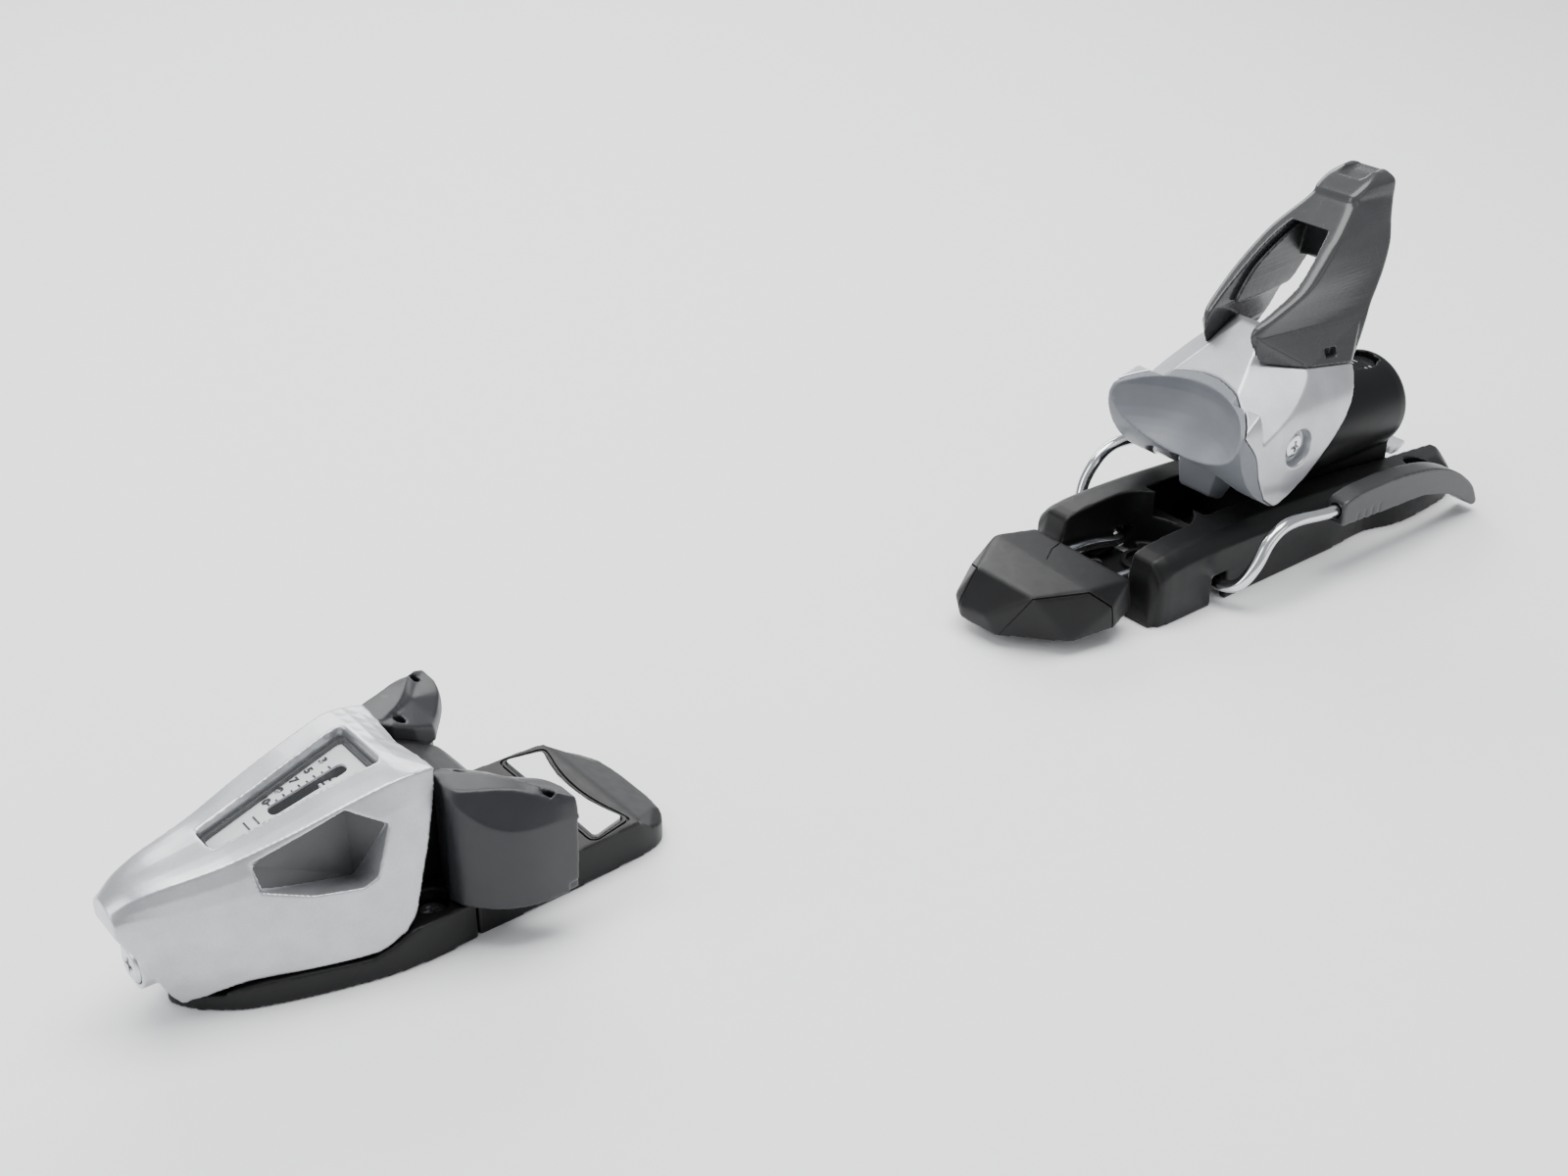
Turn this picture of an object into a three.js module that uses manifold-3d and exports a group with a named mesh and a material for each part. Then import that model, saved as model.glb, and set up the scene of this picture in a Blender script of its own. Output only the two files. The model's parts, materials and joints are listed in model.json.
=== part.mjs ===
// Alpine step-in ski binding: toe unit and heel unit with ski brake, as they stand on a ski.
// Millimetres, +Z up. x is measured from the toe nose towards the ski tail, y to the skier's right, and
// z = 0 is the top face of the ski. The whole group is moved so that x = 0 is its middle.
import * as THREE from "three";
import { mergeVertices } from "three/addons/utils/BufferGeometryUtils.js";
import Module from "manifold-3d";

const wasm = await Module();
wasm.setup();

// ---- driving dimensions ----
const MIDDLE_X = 266; // half the length over nose and brake tips
const GAP = 0.35; // clearance between pieces that touch or slide
const TOE_AXIS_Z = 17; // spring and adjusting screw of the toe
const TOE_SPRING_R = 8;
const YOKE_Y = 10; // middle of the yoke's tie bars
const WING_PIVOT = [91, 20.5];
const WING_BOTTOM = 13; // z of a wing's lower edge
const AFD_TOP = 12.6;
const AXLE = [424.5, 50]; // x, z of the heel cup's axle
const PISTON_X = 436.2; // front face of the heel piston
const BARREL = { r: 19.3, x0: 457.5, x1: 507.4, z: 36.5 };
const BRAKE_AXIS = [389.5, 7.5]; // x, z
const BRAKE_ARM_Y = 41.3;
const WIRE_R = 2.3;
const CHANNEL_Y = 14.2; // half-width of the heel track's channel
const RAIL_Z = [4.4, 6.2];
const LATCH_PIN = [500, 13]; // x, z

// ---- helpers ----

// A closed outline from [x, y] or [x, y, corner radius] points.
function outline(points) {
  const shape = new THREE.Shape();
  const n = points.length;
  const at = (i) => new THREE.Vector2(points[(i + n) % n][0], points[(i + n) % n][1]);
  for (let i = 0; i < n; i++) {
    const corner = at(i);
    const room = 0.48 * Math.min(corner.distanceTo(at(i - 1)), corner.distanceTo(at(i + 1)));
    const r = Math.min(points[i][2] ?? 0, room);
    const before = corner.clone().add(at(i - 1).sub(corner).setLength(r || 1e-9));
    const after = corner.clone().add(at(i + 1).sub(corner).setLength(r || 1e-9));
    if (i === 0) shape.moveTo(r ? before.x : corner.x, r ? before.y : corner.y);
    else shape.lineTo(r ? before.x : corner.x, r ? before.y : corner.y);
    if (r) shape.quadraticCurveTo(corner.x, corner.y, after.x, after.y);
  }
  shape.closePath();
  return shape;
}

// A half outline given for y >= 0, made whole by its mirror image.
function mirrored(half) {
  const back = half
    .filter(([, y]) => y > 1e-6)
    .map(([x, y, r]) => [x, -y, r])
    .reverse();
  return [...half, ...back];
}

// The same for a section: [z, half-width] points in, [y, z] points out.
const mirroredSection = (half) => mirrored(half).map(([z, y, r]) => [y, z, r]);

// A geometry as a manifold solid.
function solid(geometry) {
  const bare = geometry.clone();
  bare.deleteAttribute("normal");
  bare.deleteAttribute("uv");
  const merged = mergeVertices(bare, 1e-4);
  const made = new wasm.Manifold(
    new wasm.Mesh({
      numProp: 3,
      vertProperties: merged.attributes.position.array,
      triVerts: new Uint32Array(merged.index.array),
    }),
  );
  return made;
}

const extruded = (shape, depth, steps = 5) =>
  new THREE.ExtrudeGeometry(shape, { depth, bevelEnabled: false, curveSegments: steps });

// Outline in x, y raised from z0 to z1.
const upright = (points, z0, z1, steps) =>
  solid(extruded(outline(points), z1 - z0, steps).translate(0, 0, z0));

// Outline in x, z carried from y0 to y1.
const across = (points, y0, y1, steps) =>
  solid(
    extruded(outline(points), y1 - y0, steps)
      .rotateX(Math.PI / 2)
      .translate(0, y1, 0),
  );

// Outline in y, z carried from x0 to x1.
function along(points, x0, x1, steps) {
  const turn = new THREE.Matrix4().makeBasis(
    new THREE.Vector3(0, 1, 0),
    new THREE.Vector3(0, 0, 1),
    new THREE.Vector3(1, 0, 0),
  );
  return solid(extruded(outline(points), x1 - x0, steps).applyMatrix4(turn).translate(x0, 0, 0));
}

const box = (x0, x1, y0, y1, z0, z1) =>
  solid(
    new THREE.BoxGeometry(x1 - x0, y1 - y0, z1 - z0).translate(
      (x0 + x1) / 2,
      (y0 + y1) / 2,
      (z0 + z1) / 2,
    ),
  );

// A box on one side of the middle plane, from |y| = y0 to y1.
const boxAside = (side, x0, x1, y0, y1, z0, z1) =>
  side > 0 ? box(x0, x1, y0, y1, z0, z1) : box(x0, x1, -y1, -y0, z0, z1);

// Turned pieces: a profile of [radius, height] points round an axis.
const turned = (profile, segments = 20) =>
  new THREE.LatheGeometry(
    profile.map(([r, h]) => new THREE.Vector2(r, h)),
    segments,
  );
const rodProfile = (r, length, chamfer = 0) => [
  [0, 0],
  [r - chamfer, 0],
  ...(chamfer ? [[r, chamfer], [r, length - chamfer]] : []),
  [r - chamfer, length],
  [0, length],
];
const alongX = (g, x, y, z) => solid(g.rotateZ(-Math.PI / 2).translate(x, y, z));
const alongY = (g, x, y, z) => solid(g.translate(x, y, z));
const alongZ = (g, x, y, z) => solid(g.rotateX(Math.PI / 2).translate(x, y, z));
const rodX = (r, x0, x1, y, z, segments, chamfer) =>
  alongX(turned(rodProfile(r, x1 - x0, chamfer), segments), x0, y, z);
const rodY = (r, y0, y1, x, z, segments, chamfer) =>
  alongY(turned(rodProfile(r, y1 - y0, chamfer), segments), x, y0, z);
const rodZ = (r, z0, z1, x, y, segments, chamfer) =>
  alongZ(turned(rodProfile(r, z1 - z0, chamfer), segments), x, y, z0);

// A ring at x from half a section of [y, z] points, made whole by its mirror image.
function mirroredRing(x, half) {
  const inner = half.slice(1, -1);
  return [...half, ...inner.map(([y, z]) => [-y, z]).reverse()].map(([y, z]) => [x, y, z]);
}

// A skin through rings of points, closed at both ends by a fan.
function loft(rings) {
  const n = rings[0].length;
  const points = rings.flat().map((p) => new THREE.Vector3(...p));
  const index = [];
  for (let r = 0; r < rings.length - 1; r++)
    for (let i = 0; i < n; i++) {
      const a = r * n + i;
      const b = r * n + ((i + 1) % n);
      index.push(a, b, b + n, a, b + n, a + n);
    }
  for (const [start, flip] of [[0, true], [(rings.length - 1) * n, false]]) {
    const middle = new THREE.Vector3();
    for (let i = 0; i < n; i++) middle.addScaledVector(points[start + i], 1 / n);
    const hub = points.push(middle) - 1;
    for (let i = 0; i < n; i++) {
      const a = start + i;
      const b = start + ((i + 1) % n);
      index.push(hub, flip ? b : a, flip ? a : b);
    }
  }
  const geometry = new THREE.BufferGeometry().setFromPoints(points);
  geometry.setIndex(index);
  const made = solid(geometry);
  if (made.volume() > 0) return made;
  geometry.setIndex(index.reverse());
  return solid(geometry);
}

const join = (...parts) => parts.reduce((sum, part) => sum.add(part));
const cut = (whole, ...parts) => parts.reduce((rest, part) => rest.subtract(part), whole);
const common = (...parts) => parts.reduce((rest, part) => rest.intersect(part));

// The same solid on the other side of the x, z plane.
const mirrorY = (part) => part.mirror([0, 1, 0]);

// A coil spring along x.
class Helix extends THREE.Curve {
  constructor(radius, x0, x1, turns, z) {
    super();
    Object.assign(this, { radius, x0, x1, turns, z });
  }
  getPoint(t) {
    const angle = 2 * Math.PI * this.turns * t;
    return new THREE.Vector3(
      this.x0 + (this.x1 - this.x0) * t,
      this.radius * Math.cos(angle),
      this.z + this.radius * Math.sin(angle),
    );
  }
}

// A round wire along a curve.
function wire(curve, radius, steps, sides = 6) {
  const section = new THREE.Shape();
  for (let i = 0; i <= sides; i++) {
    const a = (2 * Math.PI * i) / sides;
    const [x, y] = [radius * Math.cos(a), radius * Math.sin(a)];
    if (i === 0) section.moveTo(x, y);
    else if (i < sides) section.lineTo(x, y);
  }
  section.closePath();
  return solid(new THREE.ExtrudeGeometry(section, { steps, extrudePath: curve, bevelEnabled: false }));
}

// A countersunk wood screw with a cross recess, its head's top at z.
function mountingScrew(x, y, z) {
  const head = 4.6;
  const body = alongZ(
    turned([[0, 0], [2.2, 0], [2.2, z - 3.4], [head, z - 1.2], [head, z], [0, z]], 14),
    x,
    y,
    0.2,
  );
  const slotX = box(x - 2.6, x + 2.6, y - 0.6, y + 0.6, z - 1.6, z + 2);
  const slotY = box(x - 0.6, x + 0.6, y - 2.6, y + 2.6, z - 1.6, z + 2);
  return cut(body, slotX, slotY);
}
// The hole that such a screw goes through, with its counterbore from z upwards.
const screwHole = (x, y, z) => join(rodZ(2.7, -1, z, x, y, 14), rodZ(5.2, z - 3.6, 60, x, y, 14));

// ---- materials ----
const finish = (color, roughness, metalness, opacity = 1) =>
  new THREE.MeshStandardMaterial({
    color,
    roughness,
    metalness,
    opacity,
    transparent: opacity < 1,
  });
const SILVER = () => finish(0xc9cdd2, 0.35, 0.55);
const GREY = () => finish(0x7d8288, 0.45, 0.25);
const BLACK = () => finish(0x1b1c1e, 0.4, 0);
const WING = () => finish(0x3a3b42, 0.5, 0.1);
const STEEL = () => finish(0xc4c6c8, 0.2, 1);
const ZINC = () => finish(0x9aa0a6, 0.4, 1);
const WHITE = () => finish(0xeceeef, 0.3, 0);
const CLEAR = () => finish(0xdfe4e8, 0.1, 0, 0.35);
const SMOKE = () => finish(0x4a4c50, 0.25, 0, 0.8);
const FOOT = () => finish(0x303234, 0.45, 0);

const binding = new THREE.Group();
binding.position.x = -MIDDLE_X;

function piece(name, part, material) {
  const source = part.getMesh();
  const stride = source.numProp;
  const xyz = new Float32Array(source.numVert * 3);
  for (let i = 0; i < source.numVert; i++)
    xyz.set(source.vertProperties.subarray(i * stride, i * stride + 3), i * 3);
  const geometry = new THREE.BufferGeometry();
  geometry.setAttribute("position", new THREE.BufferAttribute(xyz, 3));
  geometry.setIndex(new THREE.BufferAttribute(new Uint32Array(source.triVerts), 1));
  geometry.computeVertexNormals();
  const mesh = new THREE.Mesh(geometry, material);
  mesh.name = name;
  binding.add(mesh);
}
const pair = (name, part, material) => {
  piece(`${name}_left`, part, material());
  piece(`${name}_right`, mirrorY(part), material());
};

// ==== TOE UNIT ====

// Moulded base under the housing, with a low saddle that carries the tower and the wings.
const toePlan = mirrored([
  [10.5, 0], [11.8, 3.4], [15.2, 8.1], [24.1, 15.5], [37.5, 20.7], [49.6, 24.3], [61.1, 27.3],
  [74.9, 28.6], [88.5, 27.7], [88.5, 0],
]);
const toeSide = [
  [9, 0], [9, 1], [14, 4], [29, 7.9], [45, 7.7], [58, 7], [64, 9], [70, 12.2], [90, 12.2], [90, 0],
];
const toeScrews = [[60, 0, 4.6], [79, 19.5, 8.5], [79, -19.5, 8.5]];
const toeBase = cut(
  common(upright(toePlan, 0, 14), across(toeSide, -30, 30)),
  box(16, 69.5, -12.9, 12.9, 4.9, 20),
  across([[14, 3.2], [17, 3.2], [17, 20], [8, 20]], -7, 7),
  ...toeScrews.map(([x, y, z]) => screwHole(x, y, z)),
);
piece("toe_base", toeBase, BLACK());

// Silver housing: sections across it, each with lower edge, belt, shoulder and top.
const housingStations = [
  // x, lower y, lower z, belt y, belt z, shoulder y, shoulder z, top z
  [-1.6, 6.2, 31, 7, 33.2, 4.6, 37.4, 38.6],
  [4, 7.6, 20, 9.3, 30.4, 6.8, 40.6, 42],
  [11.6, 7.2, 4, 12, 28, 9.2, 42.4, 43.9],
  [20, 12, 6.5, 14.6, 26.8, 11.2, 43.4, 44.9],
  [29, 16, 8.4, 17.4, 26, 13.2, 44.8, 46.2],
  [45, 22, 8.2, 22.3, 24.6, 16.6, 48.8, 49.9],
  [60, 26, 7.6, 25.4, 23.6, 18.8, 52.6, 53.8],
  [74, 26.4, 12, 25.2, 26, 20.4, 55.2, 56.2],
  [86, 24, 20, 22.6, 34, 19, 53.4, 50.2],
];
const CROWN = 0.2; // how much the top swells between shoulder and ridge
const BULGE = 0.8; // and the side between belt and shoulder
const housingRing = ([x, ly, lz, by, bz, sy, sz, tz]) =>
  mirroredRing(x, [
    [0, lz], [ly, lz], [by, bz], [(by + sy) / 2 + BULGE, (bz + sz) / 2], [sy, sz],
    [sy * 0.6, (sz + tz) / 2 + CROWN], [0, tz],
  ]);
// What is left of the housing seen from the side: its rear edge leans back.
const housingSide = [
  [-10, -5], [62, -5], [64.6, 8], [71, 14.8], [77.4, 33], [83.6, 52.2], [85, 60], [-10, 60],
];
const windowPlan = mirrored([[26.4, 0], [26.4, 4.6, 2.5], [73, 10.8, 2.5], [73, 0]]);
const pocketSide = [
  [32, 43.3, 1.5], [57.8, 51.2, 1.5], [68, 44.4, 1.5], [64.2, 35.6, 2], [56.4, 32.6, 2],
  [33.2, 35.6, 1.5],
];
const housingOuter = common(loft(housingStations.map(housingRing)), across(housingSide, -40, 40));
// Room in the housing for the base and its saddle.
const toeSaddleRoom = join(
  across([[60, -5], [60, 8.2], [64.2, 9.6], [70.2, 12.8], [90, 12.8], [90, -5]], -40, 40),
  across([[5, -6], [9, 1.4], [14, 4.4], [29, 8.3], [60, 8.2], [60, -6]], -40, 40),
);
const cavityPlan = mirrored([[13, 0], [13, 5.6], [28, 12.7], [90, 12.7], [90, 0]]);
const housing = cut(
  join(housingOuter, rodX(7.2, 3, 12, 0, TOE_AXIS_Z, 20)),
  upright(cavityPlan, -1, 28),
  upright(windowPlan, 27, 70),
  box(69.2, 90, -16.5, 16.5, -1, 46),
  across(pocketSide, 11.6, 40, 3),
  across(pocketSide, -40, -11.6, 3),
  rodX(5.9, -5, 20, 0, TOE_AXIS_Z, 20),
  toeSaddleRoom,
);
piece("toe_housing", housing, SILVER());

// Clear window over the setting scale, and the printed scale plate under it.
const windowSlope = (drop, x0, x1) => {
  const z = (x) => 45.4 + ((x - 26.4) * 10.4) / 46.6 - drop;
  return [[x0, z(x0) - 1.4], [x1, z(x1) - 1.4], [x1, z(x1)], [x0, z(x0)]];
};
const insetPlan = mirrored([[26.9, 0], [26.9, 4.2, 2.3], [72.5, 10.3, 2.3], [72.5, 0]]);
piece(
  "toe_window",
  common(across(windowSlope(0.9, 26.9, 72.5), -12, 12), upright(insetPlan, 30, 70)),
  CLEAR(),
);
const scalePlate = cut(
  common(across(windowSlope(4, 28, 71.5), -12, 12), upright(insetPlan, 30, 70)),
  box(45, 68, -2.3, 2.3, 30, 60),
);
piece("toe_scale", scalePlate, WHITE());

// Adjusting screw: its head shows in the chin of the housing, its thread runs through the spring.
const toeScrew = cut(
  join(
    rodX(5.4, 1.2, 10.5, 0, TOE_AXIS_Z, 18, 0.7),
    rodX(2.6, 9, 69.4, 0, TOE_AXIS_Z, 12),
  ),
  box(-2, 4, -0.8, 0.8, TOE_AXIS_Z - 3.4, TOE_AXIS_Z + 3.4),
  box(-2, 4, -3.4, 3.4, TOE_AXIS_Z - 0.8, TOE_AXIS_Z + 0.8),
);
piece("toe_adjust_screw", toeScrew, ZINC());

// Nut that the screw moves: it holds the spring's rear end and carries the pointer in the window.
const indicator = cut(
  join(
    rodX(8.4, 62.6, 67.2, 0, TOE_AXIS_Z, 18),
    box(62.6, 65.6, -1.8, 1.8, TOE_AXIS_Z, 45.2),
    box(60.4, 65.6, -1.8, 1.8, 43.6, 47),
  ),
  rodX(3, 60, 70, 0, TOE_AXIS_Z, 12),
);
piece("toe_indicator", indicator, WHITE());
piece("toe_spring", wire(new Helix(TOE_SPRING_R - 1.2, 33.8, 61, 7, TOE_AXIS_Z), 1.1, 63, 5), STEEL());

// Yoke: a frame that the opening wings pull back against the spring.
const yokeBar = box(28.5, 98, YOKE_Y - 0.8, YOKE_Y + 0.8, 14, 20);
const yoke = cut(
  join(
    box(28.5, 32.2, -YOKE_Y, YOKE_Y, 9.5, 24.5),
    yokeBar,
    mirrorY(yokeBar),
    box(94.2, 97.2, -15.4, 15.4, 14, 20),
  ),
  rodX(3.2, 25, 35, 0, TOE_AXIS_Z, 12),
);
piece("toe_yoke", yoke, ZINC());

// Tower between the wings, with the slots that the yoke's head moves in.
const blockSide = [
  [70.5, 12.9], [70.5, 42], [84.6, 46.2], [93, 42], [101.2, 37.4, 1.5], [104.6, 33, 1.5], [104.6, 13.8],
  [89.5, 13.8], [89.5, 12.9],
];
const blockPlan = mirrored([[70, 0], [70, 12.3], [97, 12.3, 2], [100.8, 11], [104.6, 3.5, 2], [104.6, 0]]);
const block = cut(
  common(across(blockSide, -13, 13), upright(blockPlan, 10, 50)),
  box(60, 102.2, -11.2, 11.2, 12, 22),
  box(93.4, 102.2, -20, 20, 12, 21.2),
  box(60, 80, -9.4, 9.4, 12, 36),
);
piece("toe_block", block, BLACK());

// Wings: shells that hold the boot toe, each on an upright pin. Their outline is given row by row.
const wingOuter = [
  // lower x, y; crease x, y, z; shoulder x, y, z; top edge x, y, z
  [82.7, 24, 83.6, 23.8, 47.6, 84.2, 21.6, 49.2, 85, 15.8, 49.8],
  [84.4, 28.4, 84.9, 28.6, 45.4, 86, 25.8, 49, 88, 16.2, 49.4],
  [88.3, 33, 88.7, 33.2, 41.2, 89.6, 28.2, 48.6, 92, 18.6, 48.9],
  [93.2, 37.2, 93.4, 37.2, 38.9, 94.4, 30.4, 48.2, 96.6, 22.8, 48.5],
  [98.6, 39.6, 98.8, 39.7, 38.2, 99.8, 33.6, 47.4, 101.2, 28.2, 48.2],
  [103.9, 40.7, 104.2, 40.9, 38.2, 104.8, 37.4, 45.2, 105.6, 34.2, 47.2],
  [109.5, 41, 109.6, 41.3, 37.8, 109.7, 40.2, 42.6, 109.8, 38.8, 45.2],
  [113.2, 41, 114, 41.5, 37.5, 114, 41.4, 40.6, 114, 41, 43],
];
const wingInner = [
  // lower x, y; lip x, y; top edge x, y, z
  [114, 38.4, 114.2, 34, 113.8, 34.4, 43],
  [109.6, 34, 112.4, 28, 112, 28.2, 42.8],
  [105.2, 28.4, 109, 22.8, 108.6, 23, 42],
  [102.2, 22, 105.6, 18.4, 105.2, 18.6, 41.4],
  [100.6, 14.6, 102.4, 14.2, 102, 14.4, 42],
  [96, 13, 96, 13, 95.8, 13, 44.8],
  [89, 13, 89, 13, 88.6, 13, 48.2],
  [85.4, 15, 85.4, 15, 85.5, 14.6, 49.4],
];
const LIP_Z = [36.2, 36.9, 40]; // underside and lower corner of the lip over the boot's toe, and its middle
const wingRings = [
  [...wingOuter.map(([x, y]) => [x, y, WING_BOTTOM]), ...wingInner.map(([x, y]) => [x, y, WING_BOTTOM])],
  [
    ...wingOuter.map(([, , x, y, z]) => [x, y, z - 1]),
    ...wingInner.map(([x, y]) => [x, y, LIP_Z[0]]),
  ],
  [...wingOuter.map((row) => row.slice(2, 5)), ...wingInner.map(([, , x, y]) => [x, y, LIP_Z[1]])],
  [...wingOuter.map((row) => row.slice(5, 8)), ...wingInner.map(([, , x, y]) => [x, y, LIP_Z[2]])],
  [...wingOuter.map((row) => row.slice(8)), ...wingInner.map((row) => row.slice(4))],
];
// The slot for the yoke's head starts at x = slot: close to the head on the wing that pulls the yoke.
const wing = (slot) =>
  cut(
    loft(wingRings),
    rodZ(2.6, 5, 44.6, WING_PIVOT[0], WING_PIVOT[1], 16),
    box(slot, 104, 10, 16.4, 10, 21.2),
    rodZ(1.9, 38, 60, 108, 36.2, 12),
    rodZ(1.7, 43.4, 60, 92.8, 16.4, 12),
  );
piece("wing_left", wing(93.2), WING());
piece("wing_right", mirrorY(wing(90.2)), WING());
pair("wing_pin", rodZ(2.2, 12.6, 44, WING_PIVOT[0], WING_PIVOT[1], 16, 0.4), STEEL);

// Rear plate under the boot's toe, with its low-friction pad.
const afdPlan = mirrored([
  [89, 0], [89, 27.3], [122, 26.6], [146, 25.6], [153, 23.8, 3], [157.4, 17.5, 4], [160, 3], [160, 0],
]);
const afdSide = [[89, 0], [89, 12.2], [104, 12.4], [126, AFD_TOP], [143.5, AFD_TOP], [160, 4.6], [161, 0]];
const padPlan = mirrored([[129.3, 0], [129.1, 24.4, 2], [141.4, 21.4, 2.5], [137.6, 0]]);
const afdScrews = [[120, 12, 8.6], [120, -12, 8.6]];
const afd = cut(
  common(
    upright(afdPlan, 0, 20),
    across(afdSide, -30, 30),
    along([[-28, -1], [28, -1], [28, 4], [26.6, AFD_TOP + 1], [-26.6, AFD_TOP + 1], [-28, 4]], 80, 170),
  ),
  upright(padPlan, AFD_TOP - 1.2, 20, 4),
  ...afdScrews.map(([x, y, z]) => screwHole(x, y, z)),
);
piece("afd_plate", afd, BLACK());
const padInset = mirrored([[129.7, 0], [129.5, 24, 1.8], [141, 21.1, 2.3], [137.2, 0]]);
piece("afd_pad", upright(padInset, AFD_TOP - 0.85, AFD_TOP + 0.6, 4), WHITE());
[...toeScrews, ...afdScrews].forEach(([x, y, z], i) =>
  piece(`toe_mounting_screw_${i + 1}`, mountingScrew(x, y, z), ZINC()),
);

// ==== HEEL UNIT ====

// Base: sections with outer edge, chamfer and top.
const baseStations = [
  // x, outer y, edge z, top y, top z
  [356.2, 28, 4, 24, 6],
  [358.6, 29, 11, 25, 19.5],
  [364, 30.7, 20, 25, 24.6],
  [399, 30.7, 20.6, 24.5, 25.2],
  [438, 30.7, 17.9, 24, 22.6],
  [453, 30.7, 16.4, 24, 21.4],
  [473, 29.6, 14.6, 24, 19.6],
  [487.6, 33.2, 12.6, 25, 18],
  [501.4, 33.6, 11.4, 25, 16.5],
  [521, 31.8, 10.6, 24, 14.6],
  [527, 28.6, 10.2, 22, 14],
  [533.6, 21, 9.6, 17, 13.4],
];
const baseRing = ([x, oy, ez, ty, tz]) => mirroredRing(x, [[0, 0], [oy, 0], [oy, ez], [ty, tz], [0, tz]]);
const heelScrews = [[364.6, 6.4, 6.4], [364.6, -6.4, 6.4], [512, 23.5, 9], [512, -23.5, 9]];
const POCKET = { x: 384.5, r: 16 };
const heelBase = cut(
  loft(baseStations.map(baseRing)),
  join(
    box(340, 371.5, -POCKET.r, POCKET.r, 6.8, 60),
    box(371, POCKET.x, -POCKET.r, POCKET.r, 4, 60),
    rodZ(POCKET.r, 4, 60, POCKET.x, 0, 28),
  ),
  box(398, 412, -CHANNEL_Y, CHANNEL_Y, 15, 60),
  box(404, 540, -CHANNEL_Y, CHANNEL_Y, 4, 60),
  box(419, 540, -17.6, 17.6, 6.6, 10.6),
  box(513.5, 540, -9.4, 9.4, -5, 60),
  ...[1, -1].flatMap((side) => [
    boxAside(side, 385.6, 393.4, 26, 40, -5, 11.4),
    boxAside(side, 382.8, 396.2, 19.5, 28, -5, 14.4),
    boxAside(side, 385.6, 393.4, 10, 22, -5, 11.4),
  ]),
  ...heelScrews.map(([x, y, z]) => screwHole(x, y, z)),
);
piece("heel_base", heelBase, BLACK());

// Steel rail in the channel with the notches that the length latch drops into.
const notches = Array.from({ length: 9 }, (_, i) => box(451 + i * 5, 453.6 + i * 5, -5, 5, 0, 20));
piece("heel_rail", cut(box(405, 512.5, -13.6, 13.6, ...RAIL_Z), ...notches), ZINC());
heelScrews.forEach(([x, y, z], i) =>
  piece(`heel_mounting_screw_${i + 1}`, mountingScrew(x, y, z), ZINC()),
);

// Housing that slides on the base: spring barrel, foot, and two ears for the axle.
const earSide = [
  [AXLE[0] - 9.3, AXLE[1] + 3, 4], [AXLE[0] - 6, AXLE[1] + 9.3, 4], [AXLE[0] + 6, AXLE[1] + 9.3, 4],
  [440, 52, 4], [452, 45], [452, 28], [440, 28, 4], [430, 36, 4], [AXLE[0] - 3, AXLE[1] - 9.3, 4],
  [AXLE[0] - 9.3, AXLE[1] - 4, 4],
];
const barrelWindow = solid(
  new THREE.CylinderGeometry(1, 1, 30, 24).scale(8, 1, 7.5).rotateX(Math.PI / 2).translate(496, 0, 66),
);
const heelHousing = cut(
  join(
    rodX(BARREL.r, BARREL.x0, BARREL.x1, 0, BARREL.z, 36, 2),
    rodX(17, 442, 460, 0, BARREL.z, 28),
    across(earSide, -15, 15, 4),
    box(430, 506.5, -13.6, 13.6, 7, 30),
    box(430, 506.5, -17, 17, 7, 10.2),
  ),
  box(410, 441.6, -9.3, 9.3, 20, 70),
  rodX(8.9, 430, 462, 0, BARREL.z, 20),
  rodX(13.4, 460, 504, 0, BARREL.z, 24),
  rodX(6.6, 500, 512, 0, BARREL.z, 20),
  rodY(3.7, -20, 20, AXLE[0], AXLE[1], 18),
  common(barrelWindow, box(480, 520, -10, 10, 50.9, 80)),
  box(489, 503, -6, 6, 45, 60),
  box(460, 520, -6.4, 6.4, 0, 16.4),
  rodY(1.7, -20, 20, LATCH_PIN[0], LATCH_PIN[1], 12),
);
piece("heel_housing", heelHousing, BLACK());
const heelWindow = solid(
  new THREE.CylinderGeometry(1, 1, 1.4, 24).scale(7.5, 1, 7).rotateX(Math.PI / 2).translate(496, 0, 52.4),
);
piece("heel_window", heelWindow, CLEAR());

// Length latch under the barrel: a sprung steel tab that drops into the rail.
const latch = cut(
  join(
    box(472, 522, -5.6, 5.6, 10.8, 12.6),
    box(471.4, 473.2, -4.2, 4.2, RAIL_Z[1] + GAP, 12.6),
    rodY(2.7, -5.6, 5.6, LATCH_PIN[0], LATCH_PIN[1], 14),
    across([[518, 10.8], [522, 10.8], [526.4, 13.2], [525.8, 14.6], [520, 12.6]], -7.6, 7.6),
  ),
  rodY(1.65, -20, 20, LATCH_PIN[0], LATCH_PIN[1], 12),
);
piece("length_latch", latch, ZINC());
piece("latch_pin", rodY(1.3, -13, 13, LATCH_PIN[0], LATCH_PIN[1], 12), STEEL());

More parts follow.
